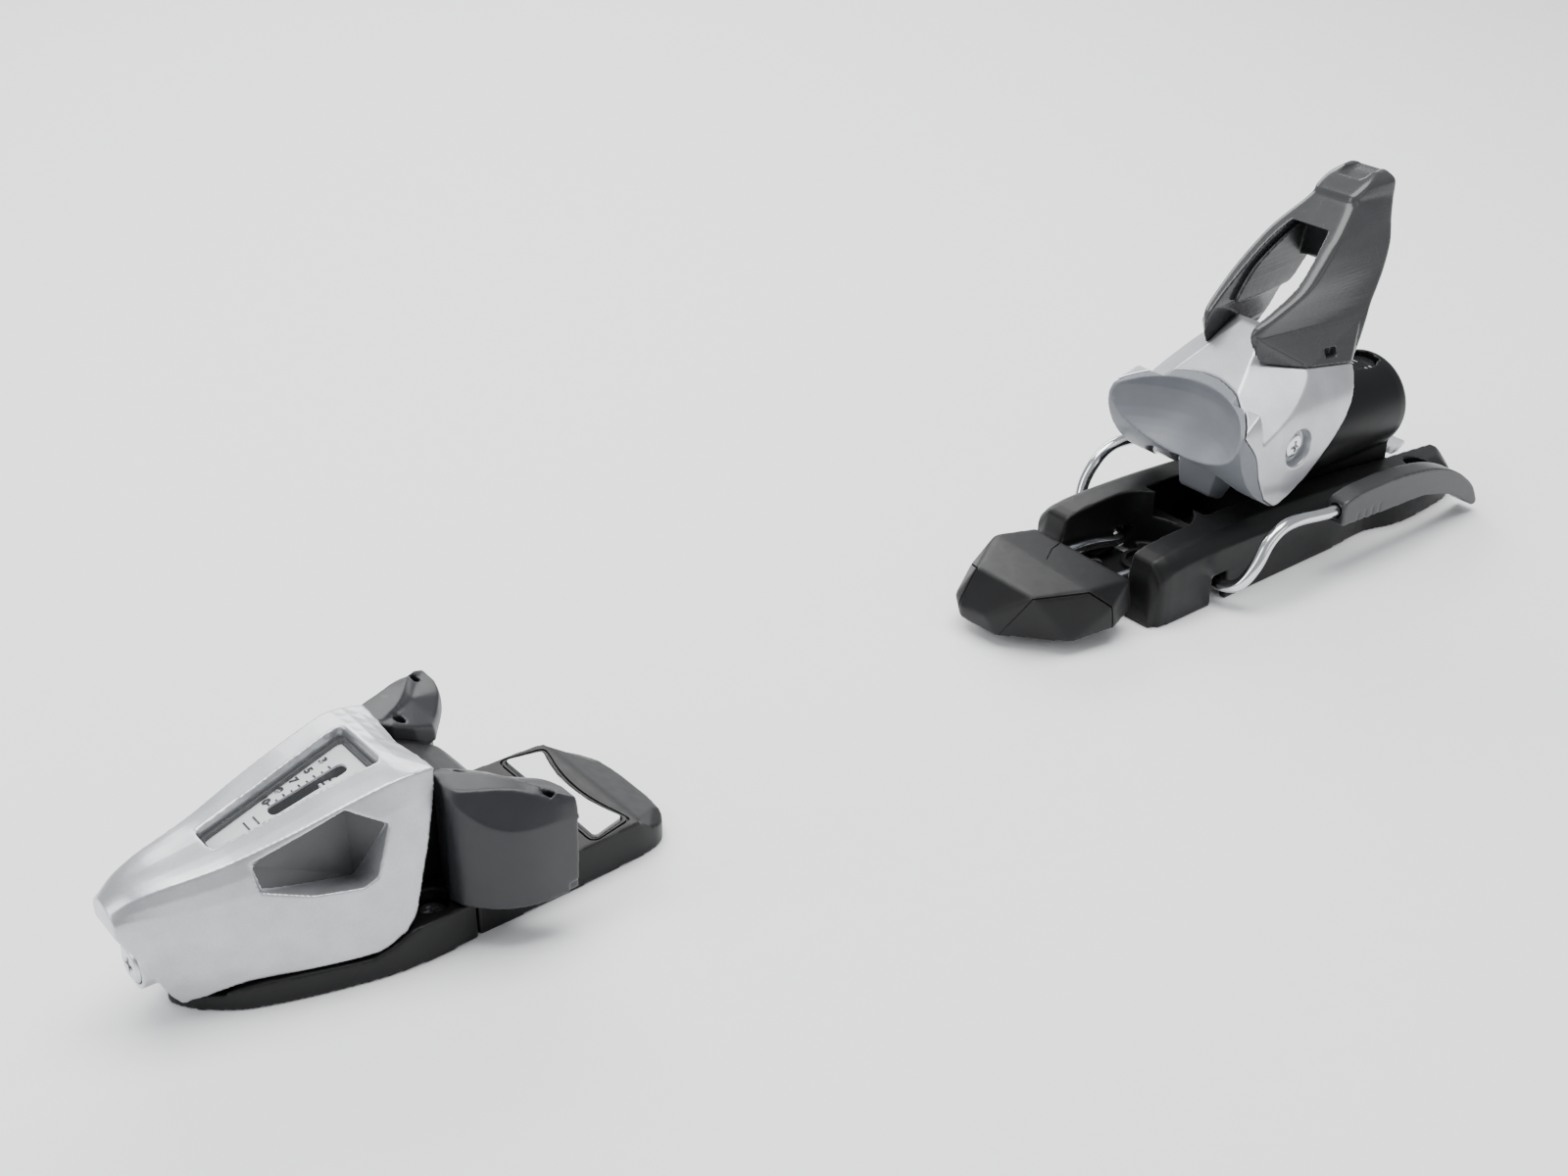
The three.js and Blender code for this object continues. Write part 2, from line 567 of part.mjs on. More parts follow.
// Spring pack in the barrel: piston, spring, seat nut, adjusting screw.
piece("heel_piston", rodX(8.5, PISTON_X, 464, 0, BARREL.z, 20, 0.5), ZINC());
piece("heel_spring", wire(new Helix(11, 466.4, 491, 5, BARREL.z), 1.5, 50, 5), STEEL());
piece(
  "heel_seat",
  cut(
    join(rodX(12.9, 493, 497.5, 0, BARREL.z, 20), box(495.5, 497.5, -2, 2, 46, 50.2)),
    rodX(3.6, 490, 500, 0, BARREL.z, 12),
  ),
  FOOT(),
);
const heelScrew = cut(
  join(rodX(6.2, 500.6, 508.6, 0, BARREL.z, 18, 0.6), rodX(3.2, 479, 502, 0, BARREL.z, 12)),
  box(506.4, 512, -0.8, 0.8, BARREL.z - 4, BARREL.z + 4),
  box(506.4, 512, -4, 4, BARREL.z - 0.8, BARREL.z + 0.8),
);
piece("heel_adjust_screw", heelScrew, ZINC());

// What the sloping facet beside the crown's spine takes away, raised by a little with the grown form.
function crownFacet(grow) {
  const height = (x, y) => 0.4315 * x - 0.69 * y - 96.5 + grow;
  const ring = (x) => [[x, 2, height(x, 2)], [x, 42, height(x, 42)], [x, 42, 130], [x, 2, 130]];
  return loft([ring(404), ring(446)]);
}
// Outer form of the heel cup and jaw, grown by a little where a neighbour needs room.
function cupForm(grow) {
  const g = grow;
  const side = [
    [393.6 - g, 62.8 + g], [391.8 - g, 58.5, 2], [393.4 - g, 51, 3], [397.4 - g, 43.4 - g, 3],
    [404 - g, 36.2 - g, 3], [416.6, 28 - g, 3], [429.8 + g, 35.4 - g, 4], [441.6 + g, 45 - g, 4],
    [450.6 + g, 56, 4], [456.6 + g, 71.2], [455.6 + g, 74.6 + g], [440, 82.6 + g, 3],
    [431, 86 + g, 3], [418.6, 77.2 + g], [407.6 - g, 69.2 + g, 2],
  ];
  const front = mirroredSection([
    [20, 0], [20, 29 + g], [38, 31 + g, 4], [56, 31.2 + g, 4], [63.5 + g, 30.4 + g, 3],
    [72.6 + g, 25.6 + g, 3], [83.4 + g, 13, 3], [87 + g, 0],
  ]);
  const form = common(across(side, -40, 40, 4), along(front, 380, 480, 4));
  return cut(form, crownFacet(g), mirrorY(crownFacet(g)));
}
// Where the jaw insert lies: a strip on each cheek and a round shell behind the boot heel.
const cheekLine = [[409.1, 34], [403.9, 43.7], [400.9, 53.2], [393.2, 63.2]];
const jawZone = (g) => {
  const cheek = [
    [380, 15], [417 + g, 15], [416.6 + g, 28.4], ...cheekLine.map(([x, z]) => [x + g, z]), [380, 64],
  ];
  const shell = [
    [380, 15], [414 + g, 15], [414 + g, 55], [412.5 + g, 64.4], [412 + g, 76], [380, 76],
  ];
  const rim = rodZ(36.4 + g, 10, 80, 374, 0, 48);
  const spurRoot = box(380, 414 + g, -12.6 - g, 12.6 + g, 15, 50 + g);
  return join(across(cheek, -40, 40), common(across(shell, -31.5, 31.5), rim), spurRoot);
};
// The room for the boot heel: turned about an upright axis in front of the jaw.
const bootHeelProfile = [
  [0, 44], [24, 44], [27.6, 47.2], [31.6, 51.5], [34.2, 57.5], [34.8, 62.5], [33.2, 68], [30, 76],
  [0, 76],
];
const bootHeel = alongZ(turned(bootHeelProfile, 48), 374, 0, 0);
const archSection = [[10, 0], [10, 22], [30, 24.5, 4], [41, 18, 6], [43.5, 0]];
const jawArch = along(mirroredSection(archSection), 380, 430, 5);
const spurSide = [
  [404, 46.5], [408.6, 41], [408, 26.4, 1.2], [416.5, 22, 1.5], [422, 29, 1.5], [413.8, 38], [413.8, 47],
];
const spur = common(
  across(spurSide, -9, 9),
  along(mirroredSection([[20, 0], [20, 4.6], [28, 5], [40, 7], [48, 9], [48, 0]]), 400, 426),
);
// Step-out lever: two legs that join in a cap, level by level from the feet up.
const leverLevels = [
  // z, front x, front y, rear x, rear y
  [66, 420, 9.6, 453, 26.6],
  [77, 418.6, 10.4, 462.4, 24],
  [85, 416.6, 12, 467, 22.6],
  [90, 418, 13.2, 470.6, 21],
  [95, 426, 15.2, 474.6, 19.8],
  [101, 436, 16.8, 479.6, 18],
  [108, 444.5, 16, 484, 15.9],
  [113, 450.4, 14.8, 486, 14],
  [116.6, 455.4, 13.4, 486.6, 13],
  [123.6, 465.2, 9.8, 488, 11.6],
  [127, 467.6, 9.4, 488.4, 11.4],
  [130.2, 473, 9, 488, 11],
  [132.6, 479, 7, 486.6, 8],
];
const leverRing = ([z, frontX, frontY, rearX, rearY], grow) => {
  const [fx, fy, rx, ry] = [frontX - grow, frontY + grow, rearX + grow, rearY + grow];
  const y = (t) => fy + (ry - fy) * t;
  const x = (t) => fx + (rx - fx) * t;
  return [
    [fx, -y(0) + 1.6, z], [x(0.1), -y(0.1), z], [x(0.9), -y(0.9), z], [rx, -y(1) + 1.4, z],
    [rx, y(1) - 1.4, z], [x(0.9), y(0.9), z], [x(0.1), y(0.1), z], [fx, y(0) - 1.6, z],
  ];
};
// The opening between the legs, wider at the back; w is the leg thickness in front, t behind.
const loopRing = ([z, fx, fy, rx, ry], w, t) => [
  [fx - 12, -(fy - w), z], [rx + 12, -(ry - t), z], [rx + 12, ry - t, z], [fx - 12, fy - w, z],
];
const loopWidth = [0.2, 0.4, 3.6, 5, 5.2, 5.4, 5.4, 5.6, 6];
const loopLevels = leverLevels.slice(0, loopWidth.length);
const loop = (extra) =>
  loft(loopLevels.map((level, i) => loopRing(level, loopWidth[i] + extra, 3 + extra)));
// The lever above the line where its feet end, grown by a little for the cup's recess. The feet are
// flush with the cup's outer form.
function legs(grow) {
  const line = [[410, 78], [418.7, 77], [455.5, 72.5], [500, 67.1]].map(([x, z]) => [x, z - grow]);
  const above = across([...line, [500, 140], [410, 140]], -40, 40);
  const feet = common(cupForm(grow), box(410, 470, -40, 40, 66, 90));
  const body = join(loft(leverLevels.map((level) => leverRing(level, grow))), feet);
  return common(cut(body, loop(grow)), above);
}
const cupHollowSide = [
  [414.2, 10], [414.2, 58], [413.8, 66], [431, 79.6], [452, 72], [480, 72], [480, 10],
];
const cupHollowSection = [[10, 0], [10, 27], [60, 26.6], [64, 22], [78, 6], [78, 0]];
const cupHollow = common(
  across(cupHollowSide, -27, 27),
  along(mirroredSection(cupHollowSection), 380, 490),
);
const hub = join(rodY(9.4, 17, 28, AXLE[0], AXLE[1], 20), rodY(9.4, -28, -17, AXLE[0], AXLE[1], 20));
const screwRecess = join(
  solid(new THREE.CylinderGeometry(7.6, 6.6, 6, 24).translate(AXLE[0], 30, AXLE[1])),
  solid(new THREE.CylinderGeometry(6.6, 7.6, 6, 24).translate(AXLE[0], -30, AXLE[1])),
);
const cupShell = cut(
  join(cut(cupForm(0), cupHollow), common(hub, cupForm(-1))),
  jawZone(GAP),
  bootHeel,
  legs(GAP),
  box(441, 480, -18.6, 18.6, 30, 100),
  screwRecess,
  rodY(3.5, -40, 40, AXLE[0], AXLE[1], 18),
);
piece("heel_cup", cupShell, SILVER());
const hubRoom = rodY(9.4 + GAP, -28, 28, AXLE[0], AXLE[1], 20);
const earRoom = rodY(10.4, -16, 16, AXLE[0], AXLE[1], 24);
const jaw = join(
  cut(common(cupForm(0), jawZone(0)), bootHeel, jawArch, earRoom, hubRoom),
  common(spur, box(400, 413.9, -20, 20, 20, 47)),
  common(spur, box(408, 424, -20, 20, 20, 40)),
);
piece("heel_jaw", jaw, GREY());
piece("heel_axle", rodY(3.2, -25.8, 25.8, AXLE[0], AXLE[1], 18, 0.4), STEEL());
const axleScrew = cut(
  rodY(4.4, 27.35, 29.4, AXLE[0], AXLE[1], 16, 0.5),
  box(AXLE[0] - 2.8, AXLE[0] + 2.8, 28.4, 32, AXLE[1] - 0.6, AXLE[1] + 0.6),
  box(AXLE[0] - 0.6, AXLE[0] + 0.6, 28.4, 32, AXLE[1] - 2.8, AXLE[1] + 2.8),
);
pair("axle_screw", axleScrew, STEEL);
// Cam on the axle: its lobe rises towards the back, so it pushes the piston as the cup opens.
const LOBE = { from: -40, to: 12, low: 10.6, high: 16.4, round: 9, step: 13 };
function camOutline() {
  const polar = (degrees, r) => {
    const a = THREE.MathUtils.degToRad(degrees);
    return [AXLE[0] + r * Math.cos(a), AXLE[1] + r * Math.sin(a)];
  };
  const points = [];
  for (let a = LOBE.from; a <= LOBE.to; a += LOBE.step)
    points.push(polar(a, THREE.MathUtils.mapLinear(a, LOBE.from, LOBE.to, LOBE.low, LOBE.high)));
  for (let a = LOBE.to + 48; a < 360 + LOBE.from - 10; a += 20) points.push(polar(a, LOBE.round));
  return points;
}
const cam = cut(across(camOutline(), -8.8, 8.8), rodY(3.6, -10, 10, AXLE[0], AXLE[1], 18));
piece("heel_cam", cam, ZINC());

piece("heel_lever", cut(legs(0), box(470, 484, -5.5, 5.5, 131.2, 140)), SMOKE());
// Liner inside the loop, with the cross web under the cap.
const linerSide = [
  [431, 90], [442, 101.5], [452, 109], [462, 115.6], [483, 115.6], [481, 106], [474, 96], [469, 88],
  [446, 88],
];
const linerBand = across(linerSide, -30, 30);
const liner = join(
  common(cut(loop(GAP), loop(1.9)), linerBand),
  common(loop(GAP), across([[464, 115.6], [469, 99], [476, 99], [482, 115.6]], -30, 30)),
);
piece("lever_core", cut(liner, cupForm(GAP * 2)), FOOT());

// ==== BRAKE ====
const pedalStations = [
  // x, half-width, bottom z, shoulder z, top z
  [303.4, 9, 7.4, 12, 14.6],
  [306.6, 16, 3.8, 13.6, 18],
  [312.4, 22.2, 3.4, 16, 22],
  [322, 26, 4.4, 18.8, 23.2],
  [335, 28.2, 5.2, 20.2, 23.8],
  [345, 26.6, 6.2, 20, 22.6],
  [352.2, 23.4, 8.6, 17.6, 19.4],
];
const pedal = loft(
  pedalStations.map(([x, w, b, s, t]) =>
    mirroredRing(x, [[0, b], [w * 0.78, b], [w, b + 3.4], [w, s], [w * 0.62, t - 0.7], [0, t]]),
  ),
);
// Wire of one side, from inside the pedal through the base's wall to the arm.
const wirePath = new THREE.CatmullRomCurve3(
  [
    [345, 12.6, 13.2], [356, 12.6, 12.8], [370, 12.6, 11.4], [381, 12.6, 9], [386.4, 13.6, 7.9],
    [389.5, 18, 7.5],
    [389.5, 26, 7.5], [389.6, 33, 7.6], [391, 38.6, 10.2], [395, BRAKE_ARM_Y, 17],
    [400.5, BRAKE_ARM_Y, 24.4],
    [407, BRAKE_ARM_Y, 28.2], [416, BRAKE_ARM_Y, 28.6], [430, BRAKE_ARM_Y, 26.4], [447, BRAKE_ARM_Y, 24.4],
  ].map((p) => new THREE.Vector3(...p)),
  false,
  "centripetal",
);
const brakeWire = wire(wirePath, WIRE_R, 44);
const wireRoom = wire(wirePath, WIRE_R + GAP, 44);
piece("brake_pedal", cut(pedal, wireRoom, mirrorY(wireRoom)), BLACK());
pair("brake_wire", brakeWire, STEEL);
// Plastic shoe on the arm's end, with its hooked tip.
const footSide = [
  [437, 20.4], [437, 29.6, 1.5], [446, 31.4, 3], [470, 31, 6], [492, 27.4, 6], [507, 21.4, 5], [519, 12, 4],
  [523.4, 3.4, 1.2], [521, 2.2, 1.2], [514, 7.4, 3], [503, 13.4, 5], [488, 17.6, 6], [462, 18.8, 4],
];
const foot = cut(across(footSide, BRAKE_ARM_Y - 3.9, BRAKE_ARM_Y + 3.9, 4), wireRoom);
pair("brake_foot", foot, FOOT);
// Torsion spring on the pivot stretch of each wire.
class SpringRing extends THREE.Curve {
  getPoint(t) {
    const angle = 2 * Math.PI * 3 * t;
    return new THREE.Vector3(
      BRAKE_AXIS[0] + 3.8 * Math.cos(angle),
      20.6 + 5.6 * t,
      BRAKE_AXIS[1] + 3.8 * Math.sin(angle),
    );
  }
}
pair("brake_spring", wire(new SpringRing(), 0.8, 27, 5), STEEL);

export default binding;
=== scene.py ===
"""Looks of the step-in ski binding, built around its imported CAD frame.

Lengths here are millimetres: s along the binding from the toe's nose line towards the ski's tail,
y across it and z up from the ski. spot() turns them into the frame's metres.
"""
import json
import math

import bmesh
import bpy
from mathutils import Matrix, Vector


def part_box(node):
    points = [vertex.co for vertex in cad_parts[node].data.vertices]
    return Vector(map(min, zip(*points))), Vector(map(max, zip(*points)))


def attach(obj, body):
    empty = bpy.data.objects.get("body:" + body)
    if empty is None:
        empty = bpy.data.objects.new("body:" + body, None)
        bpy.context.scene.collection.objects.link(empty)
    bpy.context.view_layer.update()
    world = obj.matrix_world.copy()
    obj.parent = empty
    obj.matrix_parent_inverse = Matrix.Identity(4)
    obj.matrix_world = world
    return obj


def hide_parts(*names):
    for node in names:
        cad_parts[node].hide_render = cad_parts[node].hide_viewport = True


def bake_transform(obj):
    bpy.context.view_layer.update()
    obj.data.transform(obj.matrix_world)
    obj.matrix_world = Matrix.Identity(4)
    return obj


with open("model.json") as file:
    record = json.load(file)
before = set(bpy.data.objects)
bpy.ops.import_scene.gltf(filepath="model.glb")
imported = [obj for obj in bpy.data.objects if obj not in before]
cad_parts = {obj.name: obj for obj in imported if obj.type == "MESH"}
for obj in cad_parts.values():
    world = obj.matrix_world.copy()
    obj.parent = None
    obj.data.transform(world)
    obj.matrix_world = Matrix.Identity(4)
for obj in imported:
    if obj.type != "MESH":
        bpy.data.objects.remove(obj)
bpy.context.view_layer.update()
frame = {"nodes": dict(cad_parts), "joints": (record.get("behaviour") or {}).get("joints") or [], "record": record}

MM = 0.001
NOSE_OVERHANG = 1.6  # the housing reaches this far ahead of s = 0
START_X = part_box("toe_housing")[0][0] + NOSE_OVERHANG * MM
JOINTS = {joint["name"]: joint for joint in frame["joints"]}
DETAIL = 1.0  # coarser skins while trying things


def spot(s, y, z):
    return Vector((START_X + s * MM, y * MM, z * MM))


def joint_place(name):
    """s, y and z of a joint's axis."""
    x, y, z = JOINTS[name]["pos_m"]
    return (x - START_X) / MM, y / MM, z / MM


AXLE_S, _, AXLE_Z = joint_place("heel_cup_open")
BRAKE_S, _, BRAKE_Z = joint_place("brake_swing")
WING_S, WING_Y, _ = joint_place("wing_left_swing")
AXLE = (AXLE_S, 0, AXLE_Z)
GAP = 0.35  # clearance between pieces, as in the frame
SIDES = ((1, "left"), (-1, "right"))  # the sign of y on each side, and the side's word in names


# ---- shapes ----

def new_object(name, data):
    obj = bpy.data.objects.new(name, data)
    bpy.context.scene.collection.objects.link(obj)
    return obj


def solid_of(form, mesh):
    """The bmesh as an object, with its faces turned outwards."""
    bmesh.ops.recalc_face_normals(form, faces=form.faces)
    form.to_mesh(mesh)
    form.free()
    return new_object("form", mesh)


def skin(rings):
    """A closed skin through rings of points."""
    n = len(rings[0])
    points = [tuple(p) for ring in rings for p in ring]
    faces = []
    for start in (0, len(points) - n):
        hub = len(points)
        points.append(tuple(sum(column) / n for column in zip(*points[start:start + n])))
        faces += [[hub, start + i, start + (i + 1) % n] for i in range(n)]
    for r in range(len(rings) - 1):
        for i in range(n):
            a, b = r * n + i, r * n + (i + 1) % n
            faces.append([a, b, b + n, a + n])
    mesh = bpy.data.meshes.new("form")
    mesh.from_pydata([spot(*p) for p in points], [], faces)
    form = bmesh.new()
    form.from_mesh(mesh)
    bmesh.ops.remove_doubles(form, verts=form.verts, dist=1e-7)
    return solid_of(form, mesh)


def flow(rows, per=4):
    """Rows of numbers, with smoothly running rows put between them."""
    out = []
    for i in range(len(rows) - 1):
        near = [rows[min(max(i + k, 0), len(rows) - 1)] for k in (-1, 0, 1, 2)]
        for step in range(per):
            t = step / per
            weights = (
                -0.5 * t + t * t - 0.5 * t ** 3,
                1 - 2.5 * t * t + 1.5 * t ** 3,
                0.5 * t + 2 * t * t - 1.5 * t ** 3,
                -0.5 * t * t + 0.5 * t ** 3,
            )
            out.append([sum(w * v for w, v in zip(weights, column)) for column in zip(*near)])
    return out + [list(rows[-1])]


def rounded(points, steps=6):
    """An outline of [a, b] or [a, b, corner radius] points with its corners rounded."""
    out = []
    n = len(points)
    for i, point in enumerate(points):
        corner = Vector(point[:2])
        before = Vector(points[i - 1][:2]) - corner
        after = Vector(points[(i + 1) % n][:2]) - corner
        r = min(point[2] if len(point) > 2 else 0, 0.48 * min(before.length, after.length))
        if not r:
            out.append(tuple(corner))
            continue
        a, b = corner + before.normalized() * r, corner + after.normalized() * r
        for k in range(steps + 1):
            t = k / steps
            out.append(tuple(a * (1 - t) ** 2 + corner * 2 * t * (1 - t) + b * t * t))
    return out


def mirrored(half):
    """A half outline for y >= 0 of [s, y, radius] points, made whole by its mirror image."""
    return half + [[p[0], -p[1], *p[2:]] for p in reversed(half) if p[1] > 1e-6]


def front_view(half):
    """A half outline of [z, y, radius] points, made whole as [y, z, radius] points."""
    return [[y, z, r] for z, y, r in mirrored(half)]


def on_side(side, points):
    """Points given for y > 0, put on one side of the middle plane."""
    return [(s, side * y, z) for s, y, z in points]


def span(side, near, far):
    """Two distances from the middle plane as the lower and the higher y on one side of it."""
    return sorted((side * near, side * far))


def full_ring(s, half):
    """A ring at s from half a section of (y, z) points that starts and ends on the middle plane."""
    return [(s, y, z) for y, z in half] + [(s, -y, z) for y, z in reversed(half[1:-1])]


def tall(points, z0, z1):
    """An outline of [s, y] points carried from z0 to z1."""
    outline = rounded(points)
    return skin([[(s, y, z) for s, y in outline] for z in (z0, z1)])


def slab(points, y0, y1):
    """An outline of [s, z] points carried from y0 to y1."""
    outline = rounded(points)
    return skin([[(s, y, z) for s, z in outline] for y in (y0, y1)])


def run(points, s0, s1):
    """An outline of [y, z] points carried from s0 to s1."""
    outline = rounded(points)
    return skin([[(s, y, z) for y, z in outline] for s in (s0, s1)])


def block(s0, s1, y0, y1, z0, z1):
    return tall([[s0, y0], [s1, y0], [s1, y1], [s0, y1]], z0, z1)


# for each axis: its own place in a point, then the places of the two others
AXES = {"s": (0, 1, 2), "y": (1, 0, 2), "z": (2, 0, 1)}


def turned(axis, profile, centre, sides=48):
    """A profile of (height, radius) points turned round an axis through centre, in s, y, z."""
    along, first, second = AXES[axis]
    rings = []
    for height, radius in profile:
        ring = []
        for i in range(sides):
            angle = math.tau * i / sides
            p = list(centre)
            p[along] += height
            p[first] += radius * math.cos(angle)
            p[second] += radius * math.sin(angle)
            ring.append(tuple(p))
        rings.append(ring)
    return skin(rings)


def rod(axis, r, low, high, centre, sides=48):
    """A plain round rod from low to high along its axis; centre gives the other two places."""
    return turned(axis, [(low, r), (high, r)], centre, sides)


def swept(path, radius, sides):
    """A round bar through smoothly joined points, as a closed mesh."""
    points = [Vector(p) for p in flow(path, 6)]
    normal = Vector((0, 0, 1))
    rings = []
    for i, point in enumerate(points):
        ahead = (points[min(i + 1, len(points) - 1)] - points[max(i - 1, 0)]).normalized()
        normal = (normal - ahead * normal.dot(ahead)).normalized()
        side = ahead.cross(normal)
        rings.append([
            tuple(point + radius * (math.cos(math.tau * k / sides) * normal
                                    + math.sin(math.tau * k / sides) * side))
            for k in range(sides)
        ])
    return skin(rings)


def wire_piece(path, radius, sides):
    """A swept bar shaded as drawn wire."""
    return smooth_shaded(swept(path, radius, sides), 50)


def hull(points):
    """The convex block that holds the points."""
    form = bmesh.new()
    for point in points:
        form.verts.new(spot(*point))
    bmesh.ops.convex_hull(form, input=form.verts)
    loose = [v for v in form.verts if not v.link_faces]
    bmesh.ops.delete(form, geom=loose, context="VERTS")
    return solid_of(form, bpy.data.meshes.new("hull"))


def swell(start, end, bulge, n=4):
    """Points from start to end, without end, along a shallow arc that swells to the left of the way."""
    a, b = Vector(start), Vector(end)
    out = Vector(((b - a).y, -(b - a).x)).normalized() * bulge
    return [tuple(a.lerp(b, k / n) + out * 4 * (k / n) * (1 - k / n)) for k in range(n)]


def from_frame(node):
    """A copy of a CAD node's mesh as a new object."""
    return new_object(node + "_copy", frame["nodes"][node].data.copy())


def mirror(obj):
    """The same form on the other side of the middle plane, as a new object."""
    copy = new_object(obj.name + "_mirror", obj.data.copy())
    copy.data.transform(Matrix.Scale(-1, 4, Vector((0, 1, 0))))
    copy.data.flip_normals()
    return copy


# ---- joining, cutting and rounding ----

def settle(obj):
    """Applies the modifiers."""
    graph = bpy.context.evaluated_depsgraph_get()
    mesh = bpy.data.meshes.new_from_object(obj.evaluated_get(graph))
    obj.modifiers.clear()
    obj.data = mesh
    return obj


def boolean(kind, obj, others):
    """Works the others into obj one by one, and uses them up."""
    for other in others:
        modifier = obj.modifiers.new(kind, "BOOLEAN")
        modifier.operation = kind
        modifier.object = other
        modifier.solver = "MANIFOLD"
        settle(obj)
        bpy.data.objects.remove(other)
    if not obj.data.polygons:
        raise ValueError(f"{obj.name}: nothing is left of it")
    return obj


def cut(obj, *others):
    return boolean("DIFFERENCE", obj, others)


def join(obj, *others):
    return boolean("UNION", obj, others)


def common(obj, *others):
    return boolean("INTERSECT", obj, others)


def moulded(obj, voxel=0.6, rounds=6, keep=1.0):
    """A moulded skin: even fine faces, edges rounded off, thinned to the share kept."""
    weld = bmesh.new()
    weld.from_mesh(obj.data)
    bmesh.ops.remove_doubles(weld, verts=weld.verts, dist=1e-6)
    weld.to_mesh(obj.data)
    weld.free()
    remesh = obj.modifiers.new("skin", "REMESH")
    remesh.mode = "VOXEL"
    remesh.voxel_size = voxel * DETAIL * MM
    smooth = obj.modifiers.new("soft edges", "SMOOTH")
    smooth.factor = 0.5
    smooth.iterations = rounds
    if keep < 1:
        thin = obj.modifiers.new("thin", "DECIMATE")
        thin.ratio = keep
    settle(obj)
    obj.data.shade_smooth()
    return obj


def smooth_shaded(obj, angle):
    """Shades a form smooth, apart from edges that turn more than the angle."""
    obj.data.shade_smooth()
    obj.data.set_sharp_from_angle(angle=math.radians(angle))
    return obj


def crisp(obj, *tools):
    """Cuts sharp-edged lines into a moulded skin."""
    return smooth_shaded(cut(obj, *tools), 40)


def edged(obj, width=0.4, segments=3, angle=35):
    """Bevels the sharp edges and shades the rest smooth."""
    bevel = obj.modifiers.new("edges", "BEVEL")
    bevel.width = width * MM
    bevel.segments = segments
    bevel.limit_method = "ANGLE"
    bevel.angle_limit = math.radians(angle)
    bevel.harden_normals = True
    bevel.use_clamp_overlap = True
    return smooth_shaded(obj, angle)


# ---- materials ----

def tinted(color, gain):
    return [min(1.0, c * gain) for c in color] + [1.0]


def feed(tree, node, *numbered, **named):
    """Sets a node's inputs, by number or by name, to plain values or to other nodes' outputs."""
    for key, value in [*enumerate(numbered), *named.items()]:
        socket = node.inputs[key.replace("_", " ") if isinstance(key, str) else key]
        if isinstance(value, bpy.types.NodeSocket):
            tree.links.new(value, socket)
        else:
            socket.default_value = value


def added(tree, kind, output, *numbered, **named):
    """A new node with its inputs fed; what comes back is its output of that name."""
    node = tree.nodes.new("ShaderNode" + kind)
    if kind == "Mix":
        node.data_type = "RGBA"
    elif kind == "Math":
        node.operation = "MULTIPLY_ADD"
    feed(tree, node, *numbered, **named)
    return node.outputs[output]


def material(name, color, roughness, metallic=0.0, blotch=6.0, spread=0.06, grain=900.0, depth=0.02,
             uneven=0.05, stretch=(1, 1, 1), edge_wear_and_highlight=0.0, **sockets):
    """A procedural finish: soft colour variation, uneven gloss, fine grain, and paler edges of wear and painted
    highlight.
    """
    mat = bpy.data.materials.new(name)
    mat.use_nodes = True
    tree = mat.node_tree
    coords = added(tree, "TexCoord", "Object")
    place = added(tree, "Mapping", "Vector", Vector=coords, Scale=stretch)

    def noise(scale, detail):
        return added(tree, "TexNoise", "Fac", Vector=place, Scale=scale, Detail=detail)

    fine = noise(grain, 2.0)
    mottle = added(tree, "Math", "Value", fine, 0.5, noise(blotch * 20, 3.0))
    share = added(tree, "MapRange", "Result", Value=mottle, From_Min=0.5, From_Max=1.0)
    paint = added(tree, "Mix", "Result", Factor=share, A=tinted(color, 1 - spread),
                  B=tinted(color, 1 + spread))
    # paler sharp edges: partly wear, partly a painted highlight
    if edge_wear_and_highlight:
        edge = added(tree, "NewGeometry", "Pointiness")
        keen = added(tree, "MapRange", "Result", Value=edge, From_Min=0.51, From_Max=0.6, To_Max=edge_wear_and_highlight)
        paler = tinted([0.35 + 0.65 * c for c in color], 1)
        paint = added(tree, "Mix", "Result", Factor=keen, A=paint, B=paler)
    gloss = added(tree, "MapRange", "Result", Value=noise(blotch * 45, 4.0),
                  To_Min=roughness - uneven, To_Max=roughness + uneven)
    bump = added(tree, "Bump", "Normal", Strength=depth * 10, Distance=0.00005, Height=fine)
    feed(tree, tree.nodes["Principled BSDF"], Base_Color=paint, Roughness=gloss, Normal=bump,
         Metallic=metallic, **sockets)
    return mat


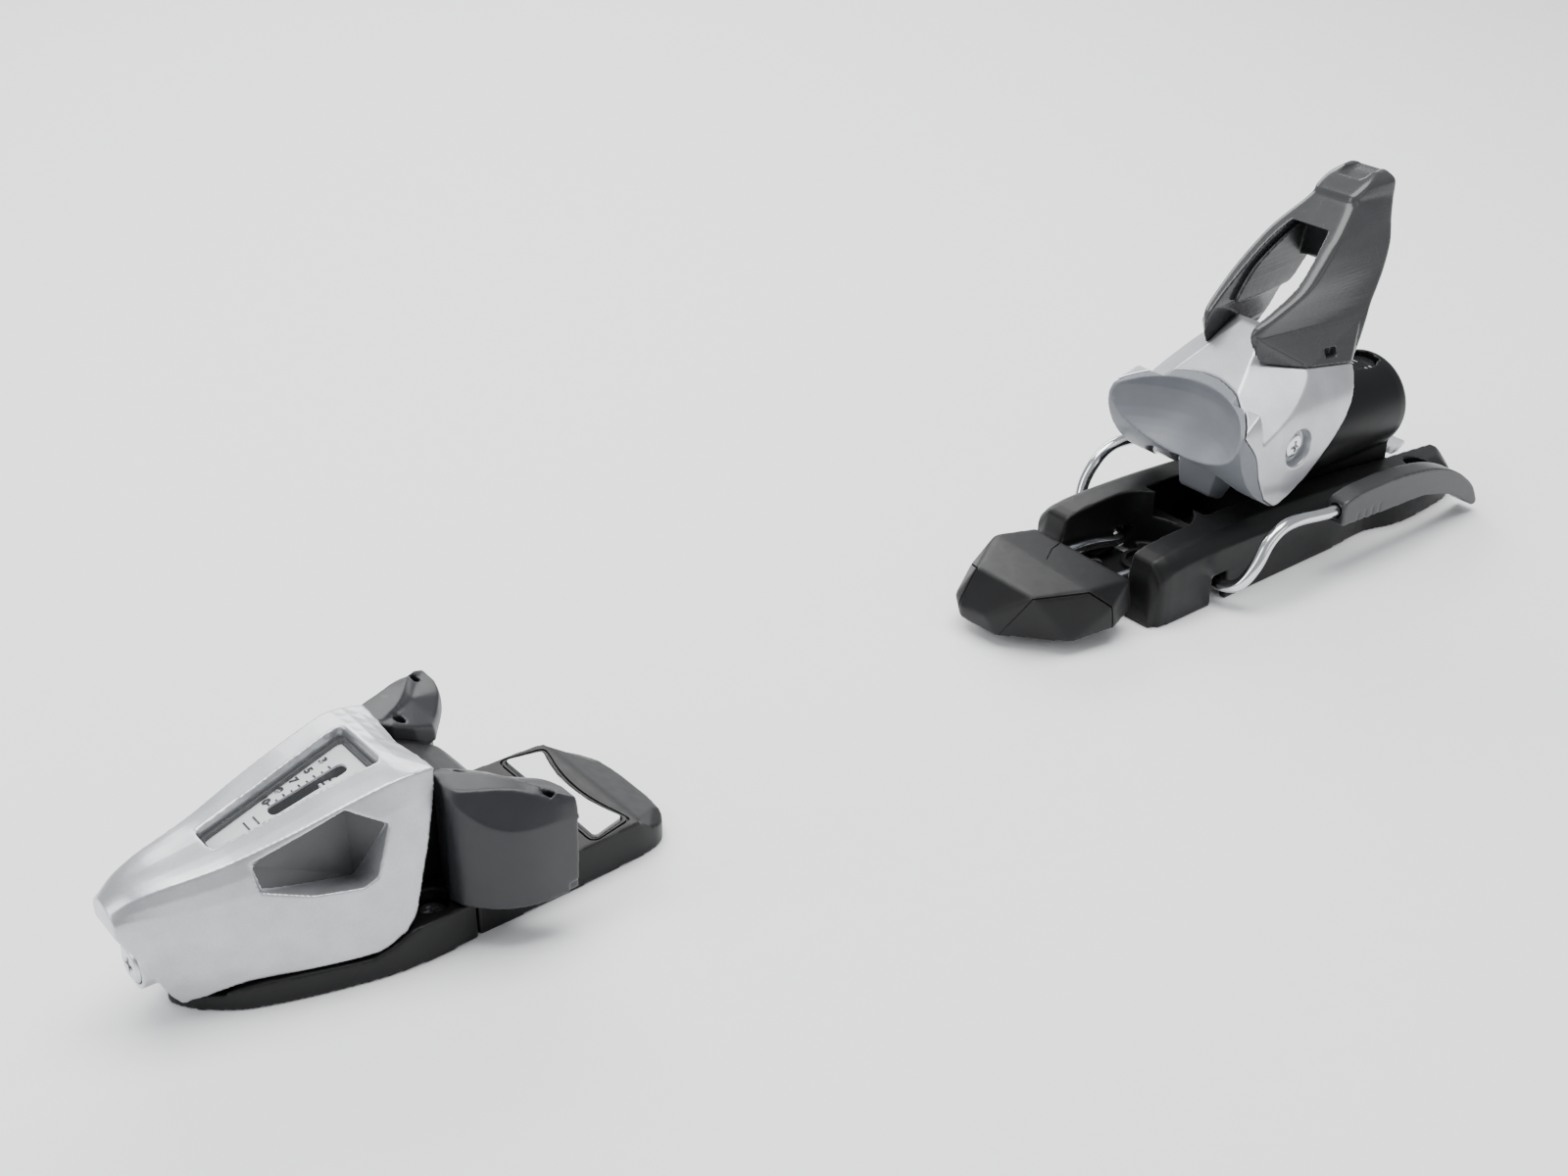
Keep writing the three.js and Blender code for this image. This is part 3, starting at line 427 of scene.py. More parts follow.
FINISH = {
    "silver_shell": material(
        "silver_lacquer", (0.5, 0.51, 0.53), 0.34, 0.7, spread=0.1, grain=1500, depth=0.03, uneven=0.04,
        edge_wear_and_highlight=0.25, Coat_Weight=0.5, Coat_Roughness=0.1),
    "jaw_grey": material(
        "jaw_plastic", (0.15, 0.16, 0.178), 0.4, spread=0.05, grain=1800, depth=0.02, edge_wear_and_highlight=0.12),
    "black_shell": material(
        "black_plastic", (0.0055, 0.0055, 0.006), 0.4, spread=0.12, grain=2200, depth=0.035,
        uneven=0.06, edge_wear_and_highlight=0.04, Specular_IOR_Level=0.25),
    "wing_grey": material(
        "wing_plastic", (0.013, 0.0135, 0.0165), 0.42, spread=0.08, grain=2000, depth=0.03, edge_wear_and_highlight=0.07),
    "lever_smoke": material(
        "smoky_plastic", (0.04, 0.041, 0.043), 0.26, spread=0.06, grain=500, depth=0.006, IOR=1.45,
        Coat_Weight=0.15, Coat_Roughness=0.08),
    "foot_grey": material(
        "foot_plastic", (0.018, 0.019, 0.02), 0.36, spread=0.08, grain=1900, depth=0.03, edge_wear_and_highlight=0.1),
    "low_friction_white": material(
        "slick_white", (0.84, 0.85, 0.86), 0.3, spread=0.015, grain=1200, depth=0.008),
    "scale_white": material(
        "printed_plate", (0.82, 0.83, 0.84), 0.28, spread=0.02, grain=1500, depth=0.006),
    "clear_lens": material(
        "clear_lens", (0.2, 0.21, 0.22), 0.03, spread=0.01, depth=0.001, uneven=0.01, Alpha=0.07,
        IOR=1.45),
    "bright_steel": material(
        "bright_wire", (0.7, 0.71, 0.72), 0.16, 1.0, spread=0.08, grain=1400, depth=0.02, uneven=0.06,
        stretch=(0.15, 1, 1)),
    "zinc_steel": material(
        "zinc_plate", (0.56, 0.57, 0.59), 0.3, 1.0, blotch=14, spread=0.12, grain=1600, depth=0.03),
}
# ink of the printed marks, also used as painted shade for the trough under the pointer's slot
INK_AND_SHADE = material("scale_ink_and_slot_shade", (0.02, 0.02, 0.022), 0.4, spread=0.1, grain=1500, depth=0.01)
STRIPE = material("pale_stripe", (0.8, 0.81, 0.82), 0.35, 0.1, spread=0.03, grain=1500, depth=0.01)
# painted shade: the dark grey of the lining in the side recesses
SHADE = material("painted_pocket_shade", (0.075, 0.077, 0.08), 0.45, 0.2, spread=0.08, grain=1800, depth=0.02)
RED = material("red_mark", (0.55, 0.03, 0.03), 0.35, spread=0.08, grain=1500, depth=0.01)


def coat(obj, finish):
    obj.data.materials.clear()
    obj.data.materials.append(finish)


def finish_piece(obj, name, body, slot, *nodes, paint=None):
    """Names a piece, gives it its finish, and ties it to its body and the CAD nodes it stands for."""
    obj.name = name
    obj.data.name = name
    coat(obj, paint or FINISH[slot])
    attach(obj, body)
    if nodes:
        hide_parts(*nodes)
    return obj


def paint_frame():
    """Gives every CAD node its slot's finish, so that any that isn't replaced shows it."""
    for row in frame["record"]["subparts"]:
        coat(frame["nodes"][row["node"]], FINISH[row["material_slot"]])


# ==== TOE UNIT ====

TOE_AXIS_Z = joint_place("toe_screw_turn")[2]
TOE_AXIS = (0, 0, TOE_AXIS_Z)
WING_Z0 = 13  # underside of the wings
AFD_TOP = 12.6  # top of the plate under the boot
HOUSING_STATIONS = [
    # s, lower y, lower z, belt y, belt z, shoulder y, shoulder z, top z
    [-1.6, 6.2, 31, 7, 33.2, 4.6, 37.4, 38.6],
    [4, 7.6, 20, 9.3, 30.4, 6.8, 40.6, 42],
    [11.6, 7.2, 4, 12, 28, 9.2, 42.4, 43.9],
    [20, 12, 6.5, 14.6, 26.8, 11.2, 43.4, 44.9],
    [29, 16, 8.4, 17.4, 26, 13.2, 44.8, 46.2],
    [45, 22, 8.2, 22.3, 24.6, 16.6, 48.8, 49.9],
    [60, 26, 7.6, 25.4, 23.6, 18.8, 52.6, 53.8],
    [74, 26.4, 12, 25.2, 26, 20.4, 55.2, 56.2],
    [86, 24, 20, 22.6, 34, 19, 53.4, 50.2],
]


def housing_outer():
    """The housing's outer form, before its rear edge is trimmed and its openings are cut."""
    rings = []
    for s, low_y, low_z, belt_y, belt_z, shoulder_y, shoulder_z, top_z in flow(HOUSING_STATIONS):
        half = [(0, low_z), (low_y, low_z)]
        half += swell((low_y, low_z), (belt_y, belt_z), 0.25)[1:]
        half += swell((belt_y, belt_z), (shoulder_y, shoulder_z), 0.9)
        half += swell((shoulder_y, shoulder_z), (0, top_z), 0.35)
        rings.append(full_ring(s, half + [(0, top_z)]))
    side = [
        [-10, -5], [62, -5, 1], [64.6, 8, 2], [71, 14.8, 2], [77.4, 33, 3], [83.6, 52.2, 1], [85, 60],
        [-10, 60],
    ]
    return common(skin(rings), slab(side, -40, 40))


# s, y and top of each screw's head
TOE_SCREWS = [(60, 0, 4.6), (79, 19.5, 8.5), (79, -19.5, 8.5), (120, 12, 8.6), (120, -12, 8.6)]
WINDOW_S0, WINDOW_S1, WINDOW_Z0 = 26.4, 73, 45.4  # ends of the window, and its height at the front end
WINDOW_RUN, WINDOW_RISE = 46.6, 10.4


def window_height(s):
    return WINDOW_Z0 + (s - WINDOW_S0) * WINDOW_RISE / WINDOW_RUN


def window_plan(inset, corner):
    """The window's outline seen from above, drawn in by inset."""
    return mirrored([
        [WINDOW_S0 + inset, 0], [WINDOW_S0 + inset, 4.6 - inset, corner],
        [WINDOW_S1 - inset, 10.8 - inset, corner], [WINDOW_S1 - inset, 0],
    ])


def window_slope(drop, thick, s0=20, s1=80):
    """A slanting layer that follows the window's slope, this far under it."""
    z = [window_height(s) - drop for s in (s0, s1)]
    return slab([[s0, z[0] - thick], [s1, z[1] - thick], [s1, z[1]], [s0, z[0]]], -14, 14)


def side_pocket(side, depth=0.0):
    """The deep recess of one side: two walls that meet in an upright line, at this depth into them."""
    mouth = [
        (32, 14.6, 43.3), (57.8, 18.9, 51.2), (68, 21.5, 44.4), (64.2, 23.3, 35.6), (56.4, 23, 32.6),
        (33.2, 16.4, 35.6),
    ]
    outer = [(s, side * (y + out), z) for s, y, z in mouth for out in (0, 12)]
    return hull(outer + [(60.4, side * (12.2 + depth), z) for z in (47, 26)])


def pocket_shade_lining(side, word):
    """A dark lining on the recess's walls, flush with the housing: painted shade for the deep recess."""
    walls = common(cut(side_pocket(side, 0.05), side_pocket(side, 0.9)), housing_outer())
    walls.data.shade_flat()
    finish_piece(walls, "toe_pocket_painted_shade_" + word, "root", "jaw_grey", paint=SHADE)


def toe_housing():
    body = housing_outer()
    inner = join(
        tall(mirrored([[13, 0], [13, 5.6], [28, 12.7], [90, 12.7], [90, 0]]), -1, 28),
        block(69.2, 90, -16.5, 16.5, -1, 46),
    )
    saddle = slab([[60, -5], [60, 8.2], [64.2, 9.6], [70.2, 12.8], [90, 12.8], [90, -5]], -40, 40)
    sole = slab([[5, -6], [9, 1.4], [14, 4.4], [29, 8.3], [60, 8.2], [60, -6]], -40, 40)
    window = tall(window_plan(0, 2.5), 27, 70)
    chin = rod("s", 5.9, -5, 20, TOE_AXIS)
    chamfer = turned("s", [(-6, 8.6), (1.6, 6.9), (3.4, 5.7)], TOE_AXIS)
    join(body, rod("s", 7.2, 3, 12, TOE_AXIS))  # collar round the screw
    cut(body, inner, saddle, sole, window, chin, chamfer, side_pocket(1), side_pocket(-1))
    # seat of the window's frame
    cut(body, common(tall(window_plan(-0.7, 3), 30, 70), window_slope(-0.1, 0.7)))
    moulded(body, 0.45, 2, 0.45)
    finish_piece(body, "toe_housing_shell", "root", "silver_shell", "toe_housing")
    for side, word in SIDES:
        # painted shade in each side recess
        pocket_shade_lining(side, word)


def toe_window():
    lens = common(tall(window_plan(0.5, 2.3), 30, 70), window_slope(0.9, 1.4))
    edged(lens, 0.3)
    finish_piece(lens, "toe_window_lens", "root", "clear_lens", "toe_window")
    liner = cut(tall(window_plan(0.3, 2.4), 28, 70), tall(window_plan(1.3, 2), 20, 80))
    edged(common(liner, window_slope(2.6, 3)), 0.15)
    finish_piece(liner, "toe_window_liner", "root", "foot_grey")


SCALE_SLOT, SCALE_SLOT_Y = (45, 68), 2.3  # the pointer's slot: its ends and half its width
SCALE_DROP = 4  # how far the plate lies under the window
TICK_S, TICK_STEP, TICK_RUN = 46.4, 2.275, 18.2  # first tick, the way to the next, and to the last
BAR_WIDTH = 0.5
NUMBER_SIZE, NUMBER_BODY, NUMBER_LIFT = 3.3, 0.12, 0.16
NUMBER_TURN = -90  # so that they read from the near side
NUMBERS = (("3", 64.6), ("5", 60), ("7", 55.4), ("9", 50.8), ("10", 46.4))


def scale_height(s, lift=0.0):
    return window_height(s) - SCALE_DROP + lift


def toe_scale():
    s0, s1 = SCALE_SLOT
    plate = common(tall(window_plan(0.5, 2.3), 30, 70), window_slope(SCALE_DROP, 0.7, 28, 71.5))
    slot = [[s, y * SCALE_SLOT_Y, 2.2] for s, y in ((s0, -1), (s1, -1), (s1, 1), (s0, 1))]
    cut(plate, tall(slot, 30, 60))
    edged(plate, 0.2)
    finish_piece(plate, "toe_scale_plate", "root", "scale_white", "toe_scale")
    # painted shade: a near-black trough under the pointer's slot, so that the slot shows dark
    slot_shade = cut(
        block(s0 - 0.8, s1 + 0.8, -3.1, 3.1, 38, 49.6),
        block(s0, s1, -SCALE_SLOT_Y, SCALE_SLOT_Y, 38.5, 60),
    )
    cut(slot_shade, window_slope(-30, 30 + SCALE_DROP + 0.75, 30, 80))
    finish_piece(slot_shade, "toe_scale_slot_shade", "root", "foot_grey", paint=INK_AND_SHADE)
    bars = []
    for k in range(9):
        long = 1.1 if k % 2 == 0 else 0.6
        bars.append(scale_bar(TICK_S + k * TICK_STEP, 2.4, 2.4 + long))
    bars += [scale_bar(s, -1.9, 1.9) for s in (38.6, 41.4)]
    ticks = join(bars[0], *bars[1:])
    finish_piece(ticks, "toe_scale_ticks", "root", "foot_grey", paint=INK_AND_SHADE)
    for label, s in NUMBERS:
        number(label, s, 5.2 + 1.5 * (s - TICK_S) / TICK_RUN)


def scale_bar(s, y0, y1):
    """A printed bar across the scale."""
    z = scale_height(s)
    return block(s - BAR_WIDTH / 2, s + BAR_WIDTH / 2, y0, y1, z - 0.3, z + 0.2)


def number(label, s, y):
    """A printed number on the scale plate, read from the near side."""
    curve = bpy.data.curves.new("number_" + label, "FONT")
    curve.body = label
    curve.size = NUMBER_SIZE * MM
    curve.extrude = NUMBER_BODY * MM
    curve.offset = NUMBER_BODY * MM
    curve.align_x = "CENTER"
    curve.align_y = "CENTER"
    flat = new_object("number_" + label, curve)
    slope = math.atan(WINDOW_RISE / WINDOW_RUN)
    flat.matrix_world = (
        Matrix.Translation(spot(s, y, scale_height(s, NUMBER_LIFT)))
        @ Matrix.Rotation(-slope, 4, "Y") @ Matrix.Rotation(math.radians(NUMBER_TURN), 4, "Z")
    )
    mesh = bpy.data.meshes.new_from_object(flat.evaluated_get(bpy.context.evaluated_depsgraph_get()))
    mesh.transform(flat.matrix_world)
    bpy.data.objects.remove(flat)
    finish_piece(new_object("number", mesh), "toe_scale_number_" + label, "root", "foot_grey", paint=INK_AND_SHADE)


def cross_recess(axis, reach, centre, half=2.9, wide=0.75):
    """The two tapering blades of a cross-head driver, pointing into a screw head."""
    along, first, second = AXES[axis]
    blades = []
    for a, b in ((first, second), (second, first)):
        points = []
        for depth, length, breadth in ((reach[0], half, wide), (reach[1], half * 0.45, wide * 0.7)):
            for i, j in ((-1, -1), (-1, 1), (1, -1), (1, 1)):
                p = list(centre)
                p[along] += depth
                p[a] += i * length
                p[b] += j * breadth
                points.append(p)
        blades.append(hull(points))
    return join(*blades)


def mounting_screw(node, s, y, z):
    """A countersunk screw with its head's top at z."""
    profile = [
        (0.2, 2.2), (z - 3.4, 2.2), (z - 1.3, 4.45), (z - 0.7, 4.6), (z - 0.25, 4.2), (z, 2.9), (z, 0.01),
    ]
    screw = turned("z", profile, (s, y, 0), 40)
    cut(screw, cross_recess("z", (z + 1, z - 2.2), (s, y, 0), 2.7, 0.62))
    edged(screw, 0.12, 2)
    finish_piece(screw, node + "_head", "root", "zinc_steel", node)


def toe_adjust_screw():
    head = turned("s", [(2.2, 4.3), (2.45, 4.9), (3.1, 5.4), (10.5, 5.4)], TOE_AXIS)
    thread = []  # root and crest of each turn
    for k in range(116):
        thread += [(9.5 + k * 0.5, 2.3), (9.75 + k * 0.5, 2.6)]
    stem = turned("s", thread, TOE_AXIS, 20)
    cut(head, cross_recess("s", (-1, 4.2), TOE_AXIS, 3.6, 0.85))
    join(head, stem)
    edged(head, 0.15, 2)
    finish_piece(head, "toe_adjust_screw_head", "toe_screw", "zinc_steel", "toe_adjust_screw")


def toe_indicator():
    nut = edged(from_frame("toe_indicator"), 0.25)
    finish_piece(nut, "toe_indicator_block", "toe_pointer", "scale_white", "toe_indicator")
    for k, s in enumerate((61.2, 63.4)):
        line = block(s, s + 0.7, -1.7, 1.7, 46.8, 47.08)
        finish_piece(line, f"toe_indicator_line_{k + 1}", "toe_pointer", "foot_grey", paint=INK_AND_SHADE)


def toe_base():
    plan = mirrored([
        [10.5, 0], [11.8, 3.4, 2], [15.2, 8.1, 3], [24.1, 15.5, 6], [37.5, 20.7, 8], [49.6, 24.3, 8],
        [61.1, 27.3, 8], [74.9, 28.6, 8], [88.5, 27.7, 1], [88.5, 0],
    ])
    side = [
        [9, 0], [9, 1], [14, 4, 3], [29, 7.9, 6], [45, 7.7, 6], [58, 7, 1.5], [64, 9, 2], [70, 12.2, 2],
        [90, 12.2], [90, 0],
    ]
    body = common(tall(plan, 0, 14), slab(side, -30, 30))
    cut(body, block(16, 69.5, -12.9, 12.9, 4.9, 20),
        slab([[14, 3.2], [17, 3.2], [17, 20], [8, 20]], -7, 7))
    cut(body, *(screw_hole(*place) for place in TOE_SCREWS[:3]))
    moulded(body, 0.6, 4, 0.6)
    finish_piece(body, "toe_base_moulding", "root", "black_shell", "toe_base")


def screw_hole(s, y, z):
    """Hole and countersunk seat for the screw whose head's top is at z."""
    return turned("z", [(-1, 2.7), (z - 3.6, 2.7), (z - 3.5, 5.2), (60, 5.2)], (s, y, 0), 32)


def toe_block():
    body = moulded(from_frame("toe_block"), 0.5, 4, 0.6)
    finish_piece(body, "toe_block_tower", "root", "black_shell", "toe_block")


WING_OUTER = [
    # lower s, y; crease s, y, z; shoulder s, y, z; top edge s, y, z
    [82.7, 24, 83.6, 23.8, 47.6, 84.2, 21.6, 49.2, 85, 15.8, 49.8],
    [84.4, 28.4, 84.9, 28.6, 45.4, 86, 25.8, 49, 88, 16.2, 49.4],
    [88.3, 33, 88.7, 33.2, 41.2, 89.6, 28.2, 48.6, 92, 18.6, 48.9],
    [93.2, 37.2, 93.4, 37.2, 38.9, 94.4, 30.4, 48.2, 96.6, 22.8, 48.5],
    [98.6, 39.6, 98.8, 39.7, 38.2, 99.8, 33.6, 47.4, 101.2, 28.2, 48.2],
    [103.9, 40.7, 104.2, 40.9, 38.2, 104.8, 37.4, 45.2, 105.6, 34.2, 47.2],
    [109.5, 41, 109.6, 41.3, 37.8, 109.7, 40.2, 42.6, 109.8, 38.8, 45.2],
    [113.2, 41, 114, 41.5, 37.5, 114, 41.4, 40.6, 114, 41, 43],
]
WING_INNER = [
    # lower s, y; lip s, y; top edge s, y, z
    [114, 38.4, 114.2, 34, 113.8, 34.4, 43],
    [109.6, 34, 112.4, 28, 112, 28.2, 42.8],
    [105.2, 28.4, 109, 22.8, 108.6, 23, 42],
    [102.2, 22, 105.6, 18.4, 105.2, 18.6, 41.4],
    [100.6, 14.6, 102.4, 14.2, 102, 14.4, 42],
    [96, 13, 96, 13, 95.8, 13, 44.8],
    [89, 13, 89, 13, 88.6, 13, 48.2],
    [85.4, 15, 85.4, 15, 85.5, 14.6, 49.4],
]
LIP_UNDER, LIP_EDGE, LIP_MIDDLE = 36.2, 36.9, 40  # heights of the lip over the boot's toe


def toe_wing(side, name, slot_start):
    """The shell that holds one side of the boot's toe; slot_start is where the yoke's slot begins."""
    outer = flow(WING_OUTER)
    inner = flow(WING_INNER[:5], 3) + WING_INNER[5:]
    low = [(s, y, WING_Z0) for s, y, *_ in outer + inner]
    under = [(s, y, z - 1) for _, _, s, y, z, *_ in outer] + [(s, y, LIP_UNDER) for s, y, *_ in inner]
    crease = [tuple(row[2:5]) for row in outer] + [(row[2], row[3], LIP_EDGE) for row in inner]
    shoulder = [tuple(row[5:8]) for row in outer] + [(row[2], row[3], LIP_MIDDLE) for row in inner]
    top = [tuple(row[8:]) for row in outer] + [tuple(row[4:]) for row in inner]
    body = skin([low, under, crease, shoulder, top])
    cut(
        body,
        rod("z", 2.6, 5, 44.6, (WING_S, WING_Y, 0)),
        block(slot_start, 104, 10, 16.4, 10, 21.2),
        rod("z", 1.9, 38, 60, (108, 36.2, 0)),
        rod("z", 1.7, 43.4, 60, (92.8, 16.4, 0)),
        block(110, 120, 40.2, 44, 10, 16.2),
    )
    moulded(body, 0.5, 4, 0.5)
    if side < 0:
        body, twin = mirror(body), body
        bpy.data.objects.remove(twin)
    finish_piece(body, name + "_shell", name, "wing_grey", name)


def pad_plan(grow):
    """The outline of the low-friction pad with its hollow rear edge, grown all round."""
    front = [[129.7 - grow, 0], [129.5 - grow, 24 + grow, 1.8 + grow]]
    rear = [[137.2 + 3.8 * (k / 6) ** 2 + grow, 21.1 * k / 6 + (grow if k == 6 else 0),
             2.2 if k == 6 else 0] for k in range(6, -1, -1)]
    return mirrored(front + rear)


def afd_plate():
    plan = mirrored([
        [89, 0], [89, 27.3, 1], [122, 26.6, 9], [146, 25.6, 4], [153, 23.8, 5], [157.4, 17.5, 5],
        [160, 3, 6], [160, 0],
    ])
    profile = [
        [89, 0], [89, 12.2], [104, 12.4, 6], [126, AFD_TOP, 6], [143.5, AFD_TOP, 3], [159.4, 4.6, 1],
        [160.6, 0],
    ]
    section = [[-28, -1], [28, -1], [28, 4], [26.6, AFD_TOP + 1], [-26.6, AFD_TOP + 1], [-28, 4]]
    body = common(tall(plan, 0, 20), slab(profile, -30, 30), run(section, 80, 170))
    groove = cut(tall(pad_plan(2.1), AFD_TOP - 0.7, 20), tall(pad_plan(1.4), 0, 30))
    cut(body, tall(pad_plan(0.4), AFD_TOP - 1.2, 20))
    cut(body, *(screw_hole(*place) for place in TOE_SCREWS[3:]))
    # chamfered rear corners, from the pad's corners outwards
    for side in (1, -1):
        cut(body, hull(on_side(side, [
            (144.5, 22.5, AFD_TOP + 0.2), (161, 9, 5), (156, 30, 4), (144, 30, 9.4), (150, 30, 20),
            (162, 12, 20), (144.5, 23, 20),
        ])))
    moulded(body, 0.5, 3, 0.6)
    crisp(body, groove)
    finish_piece(body, "afd_plate_moulding", "root", "black_shell", "afd_plate")
    pad = edged(tall(pad_plan(0), AFD_TOP - 0.85, AFD_TOP + 0.6), 0.35, 3, 50)
    finish_piece(pad, "afd_pad_sheet", "root", "low_friction_white", "afd_pad")


def coil_spring(node, coil, wire_r, z, ends):
    """A coil spring in two halves, one from each end to the middle."""
    radius, turns = coil
    s0, s1 = ends
    middle = (s0 + s1) / 2
    for half, start, end in (("front", s0, middle), ("rear", middle, s1)):
        angles = [math.pi * turns * k / (18 * turns) for k in range(18 * turns + 1)]
        first = 0 if half == "front" else math.pi * turns
        path = [(start + (end - start) * a / (math.pi * turns), radius * math.cos(a + first),
                 z + radius * math.sin(a + first)) for a in angles]
        wire = wire_piece(path, wire_r, 12)
        wire.name = wire.data.name = f"{node}_{half}_coils"
        coat(wire, FINISH["bright_steel"])
        if half == "front":
            spot(start, 0, z)
            spot(end, 0, z)
            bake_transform(wire)
        else:
            spot(start, 0, z)
            spot(end, 0, z)
            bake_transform(wire)
        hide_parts(node)


def toe_unit():
    for make in (toe_housing, toe_window, toe_scale, toe_adjust_screw, toe_indicator, toe_base, toe_block):
        make()
    toe_wing(1, "wing_left", 93.2)
    toe_wing(-1, "wing_right", 90.2)
    afd_plate()
    coil_spring("toe_spring", (6.8, 7), 1.08, TOE_AXIS_Z, (33.8, 61))
    for k, place in enumerate(TOE_SCREWS):
        mounting_screw(f"toe_mounting_screw_{k + 1}", *place)


# ==== HEEL UNIT ====

BARREL_R = 19.3
BARREL_Z = joint_place("heel_screw_turn")[2]
BARREL = (0, 0, BARREL_Z)
CHANNEL_Y = 14.2  # half the width of the channel that the heel slides in
HEEL_SCREWS = [(364.6, 6.4, 6.4), (364.6, -6.4, 6.4), (512, 23.5, 9), (512, -23.5, 9)]
POCKET_S, POCKET_R = 384.5, 16  # the front pocket's round end
BASE_STATIONS = [
    # s, outer y, edge z, top y, top z
    [356.2, 28, 4, 24, 6],
    [358.6, 29, 11, 25, 19.5],
    [364, 30.7, 20, 25, 24.6],
    [399, 30.7, 20.6, 24.5, 25.2],
    [438, 30.7, 17.9, 24, 22.6],
    [453, 30.7, 16.4, 24, 21.4],
    [473, 29.6, 14.6, 24, 19.6],
    [487.6, 33.2, 12.6, 25, 18],
    [501.4, 33.6, 11.4, 25, 16.5],
    [521, 31.8, 10.6, 24, 14.6],
    [527, 28.6, 10.2, 22, 14],
    [533.6, 21, 9.6, 17, 13.4],
]


def heel_base():
    rings = []
    for s, outer_y, edge_z, top_y, top_z in flow(BASE_STATIONS):
        half = [(0, 0), (outer_y, 0), (outer_y + 0.1, edge_z * 0.5), (outer_y, edge_z)]
        half += swell((outer_y, edge_z), (top_y, top_z), 0.5)[1:] + [(top_y, top_z), (0, top_z)]
        rings.append(full_ring(s, half))
    body = skin(rings)
    cut(
        body,
        join(block(340, 371.5, -POCKET_R, POCKET_R, 6.8, 60),
             block(371, POCKET_S, -POCKET_R, POCKET_R, 4, 60),
             rod("z", POCKET_R, 4, 60, (POCKET_S, 0, 0))),
        block(398, 412, -CHANNEL_Y, CHANNEL_Y, 15, 60),
        block(404, 540, -CHANNEL_Y, CHANNEL_Y, 4, 60),
        block(416, 540, -17.9, 17.9, 6.3, 11),
        block(513.5, 540, -9.4, 9.4, -5, 60),
    )
    for side in (1, -1):
        # room for the brake's wires and the coils of its springs
        for s0, s1, y0, y1, z1 in (
            (385.6, 393.4, 26, 40, 11.4), (382.8, 396.2, 19.5, 28, 14.4), (385.6, 393.4, 10, 22, 11.4),
        ):
            cut(body, block(s0, s1, *span(side, y0, y1), -5, z1))
        # moulded line along the shoulder
        cut(body, hull(on_side(side, [
            (366, 26.6, 24.6), (366, 27.4, 24.2), (437, 25.4, 22.9), (437, 26.2, 22.5),
            (366, 27.4, 25.6), (437, 26.4, 24)])))
    cut(body, *(screw_hole(*place) for place in HEEL_SCREWS))
    moulded(body, 0.6, 2, 0.5)
    finish_piece(body, "heel_base_moulding", "root", "black_shell", "heel_base")


def pocket_post():
    """Ring and post moulded in the bottom of the front pocket."""
    centre = (POCKET_S, 0, 0)
    ring = cut(turned("z", [(4.05, 8.4), (5.6, 8.4), (6, 8)], centre), rod("z", 6.6, 4, 8, centre))
    edged(ring, 0.2)
    finish_piece(ring, "pocket_ring", "root", "black_shell")
    post = turned("z", [(4.05, 3.4), (7.4, 3), (8.2, 2.4)], centre, 32)
    cut(post, rod("z", 1.4, 5.5, 10, centre))
    edged(post, 0.2)
    finish_piece(post, "pocket_post", "root", "black_shell")


def heel_housing():
    """Spring barrel, foot and ears of the sliding heel."""
    barrel = turned("s", [
        (442, 15.4), (444, 17), (455.5, 17.2), (457.2, 18.6), (458.6, 19.1), (462, BARREL_R),
        (502, BARREL_R), (505, 19), (506.8, 18.2), (507.4, 17.2),
    ], BARREL, 96)
    ear = [
        [AXLE_S - 9.3, AXLE_Z + 3, 4], [AXLE_S - 6, AXLE_Z + 9.3, 4], [AXLE_S + 6, AXLE_Z + 9.3, 4],
        [440, 52, 4], [452, 45], [452, 28], [440, 28, 4], [430, 36, 4], [AXLE_S - 3, AXLE_Z - 9.3, 4],
        [AXLE_S - 9.3, AXLE_Z - 4, 4],
    ]
    foot = run([[-13.4, 7], [13.4, 7], [13.4, 22.6], [15.2, 26.6, 3], [17.5, 30], [-17.5, 30],
                [-15.2, 26.6, 3], [-13.4, 22.6]], 447, 506.2)
    body = join(barrel, slab(ear, -15, 15), block(430, 448, -13.4, 13.4, 7, 30), foot,
                block(430, 506.5, -16.9, 16.9, 7, 10.1))
    window = turned("z", [(50.9, 1), (80, 1)], (0, 0, 0), 64)
    window.data.transform(Matrix.Translation(spot(496, 0, 0)) @ Matrix.Diagonal((8, 7.5, 1, 1))
                          @ Matrix.Translation(-spot(0, 0, 0)))
    cut(
        body,
        block(410, 441.6, -9.3, 9.3, 20, 70),
        rod("s", 8.9, 430, 462, BARREL),
        rod("s", 13.4, 460, 504, BARREL),
        rod("s", 6.6, 500, 512, BARREL),
        turned("s", [(505.6, 6.4), (508, 8.2)], BARREL),
        rod("y", 3.7, -20, 20, AXLE),
        window,
        block(489, 503, -6, 6, 45, 60),
        block(460, 520, -6.4, 6.4, 0, 16.4),
        rod("y", 1.7, -20, 20, (500, 0, 13)),
    )
    moulded(body, 0.5, 5, 0.5)
    finish_piece(body, "heel_housing_barrel", "carriage", "black_shell", "heel_housing")


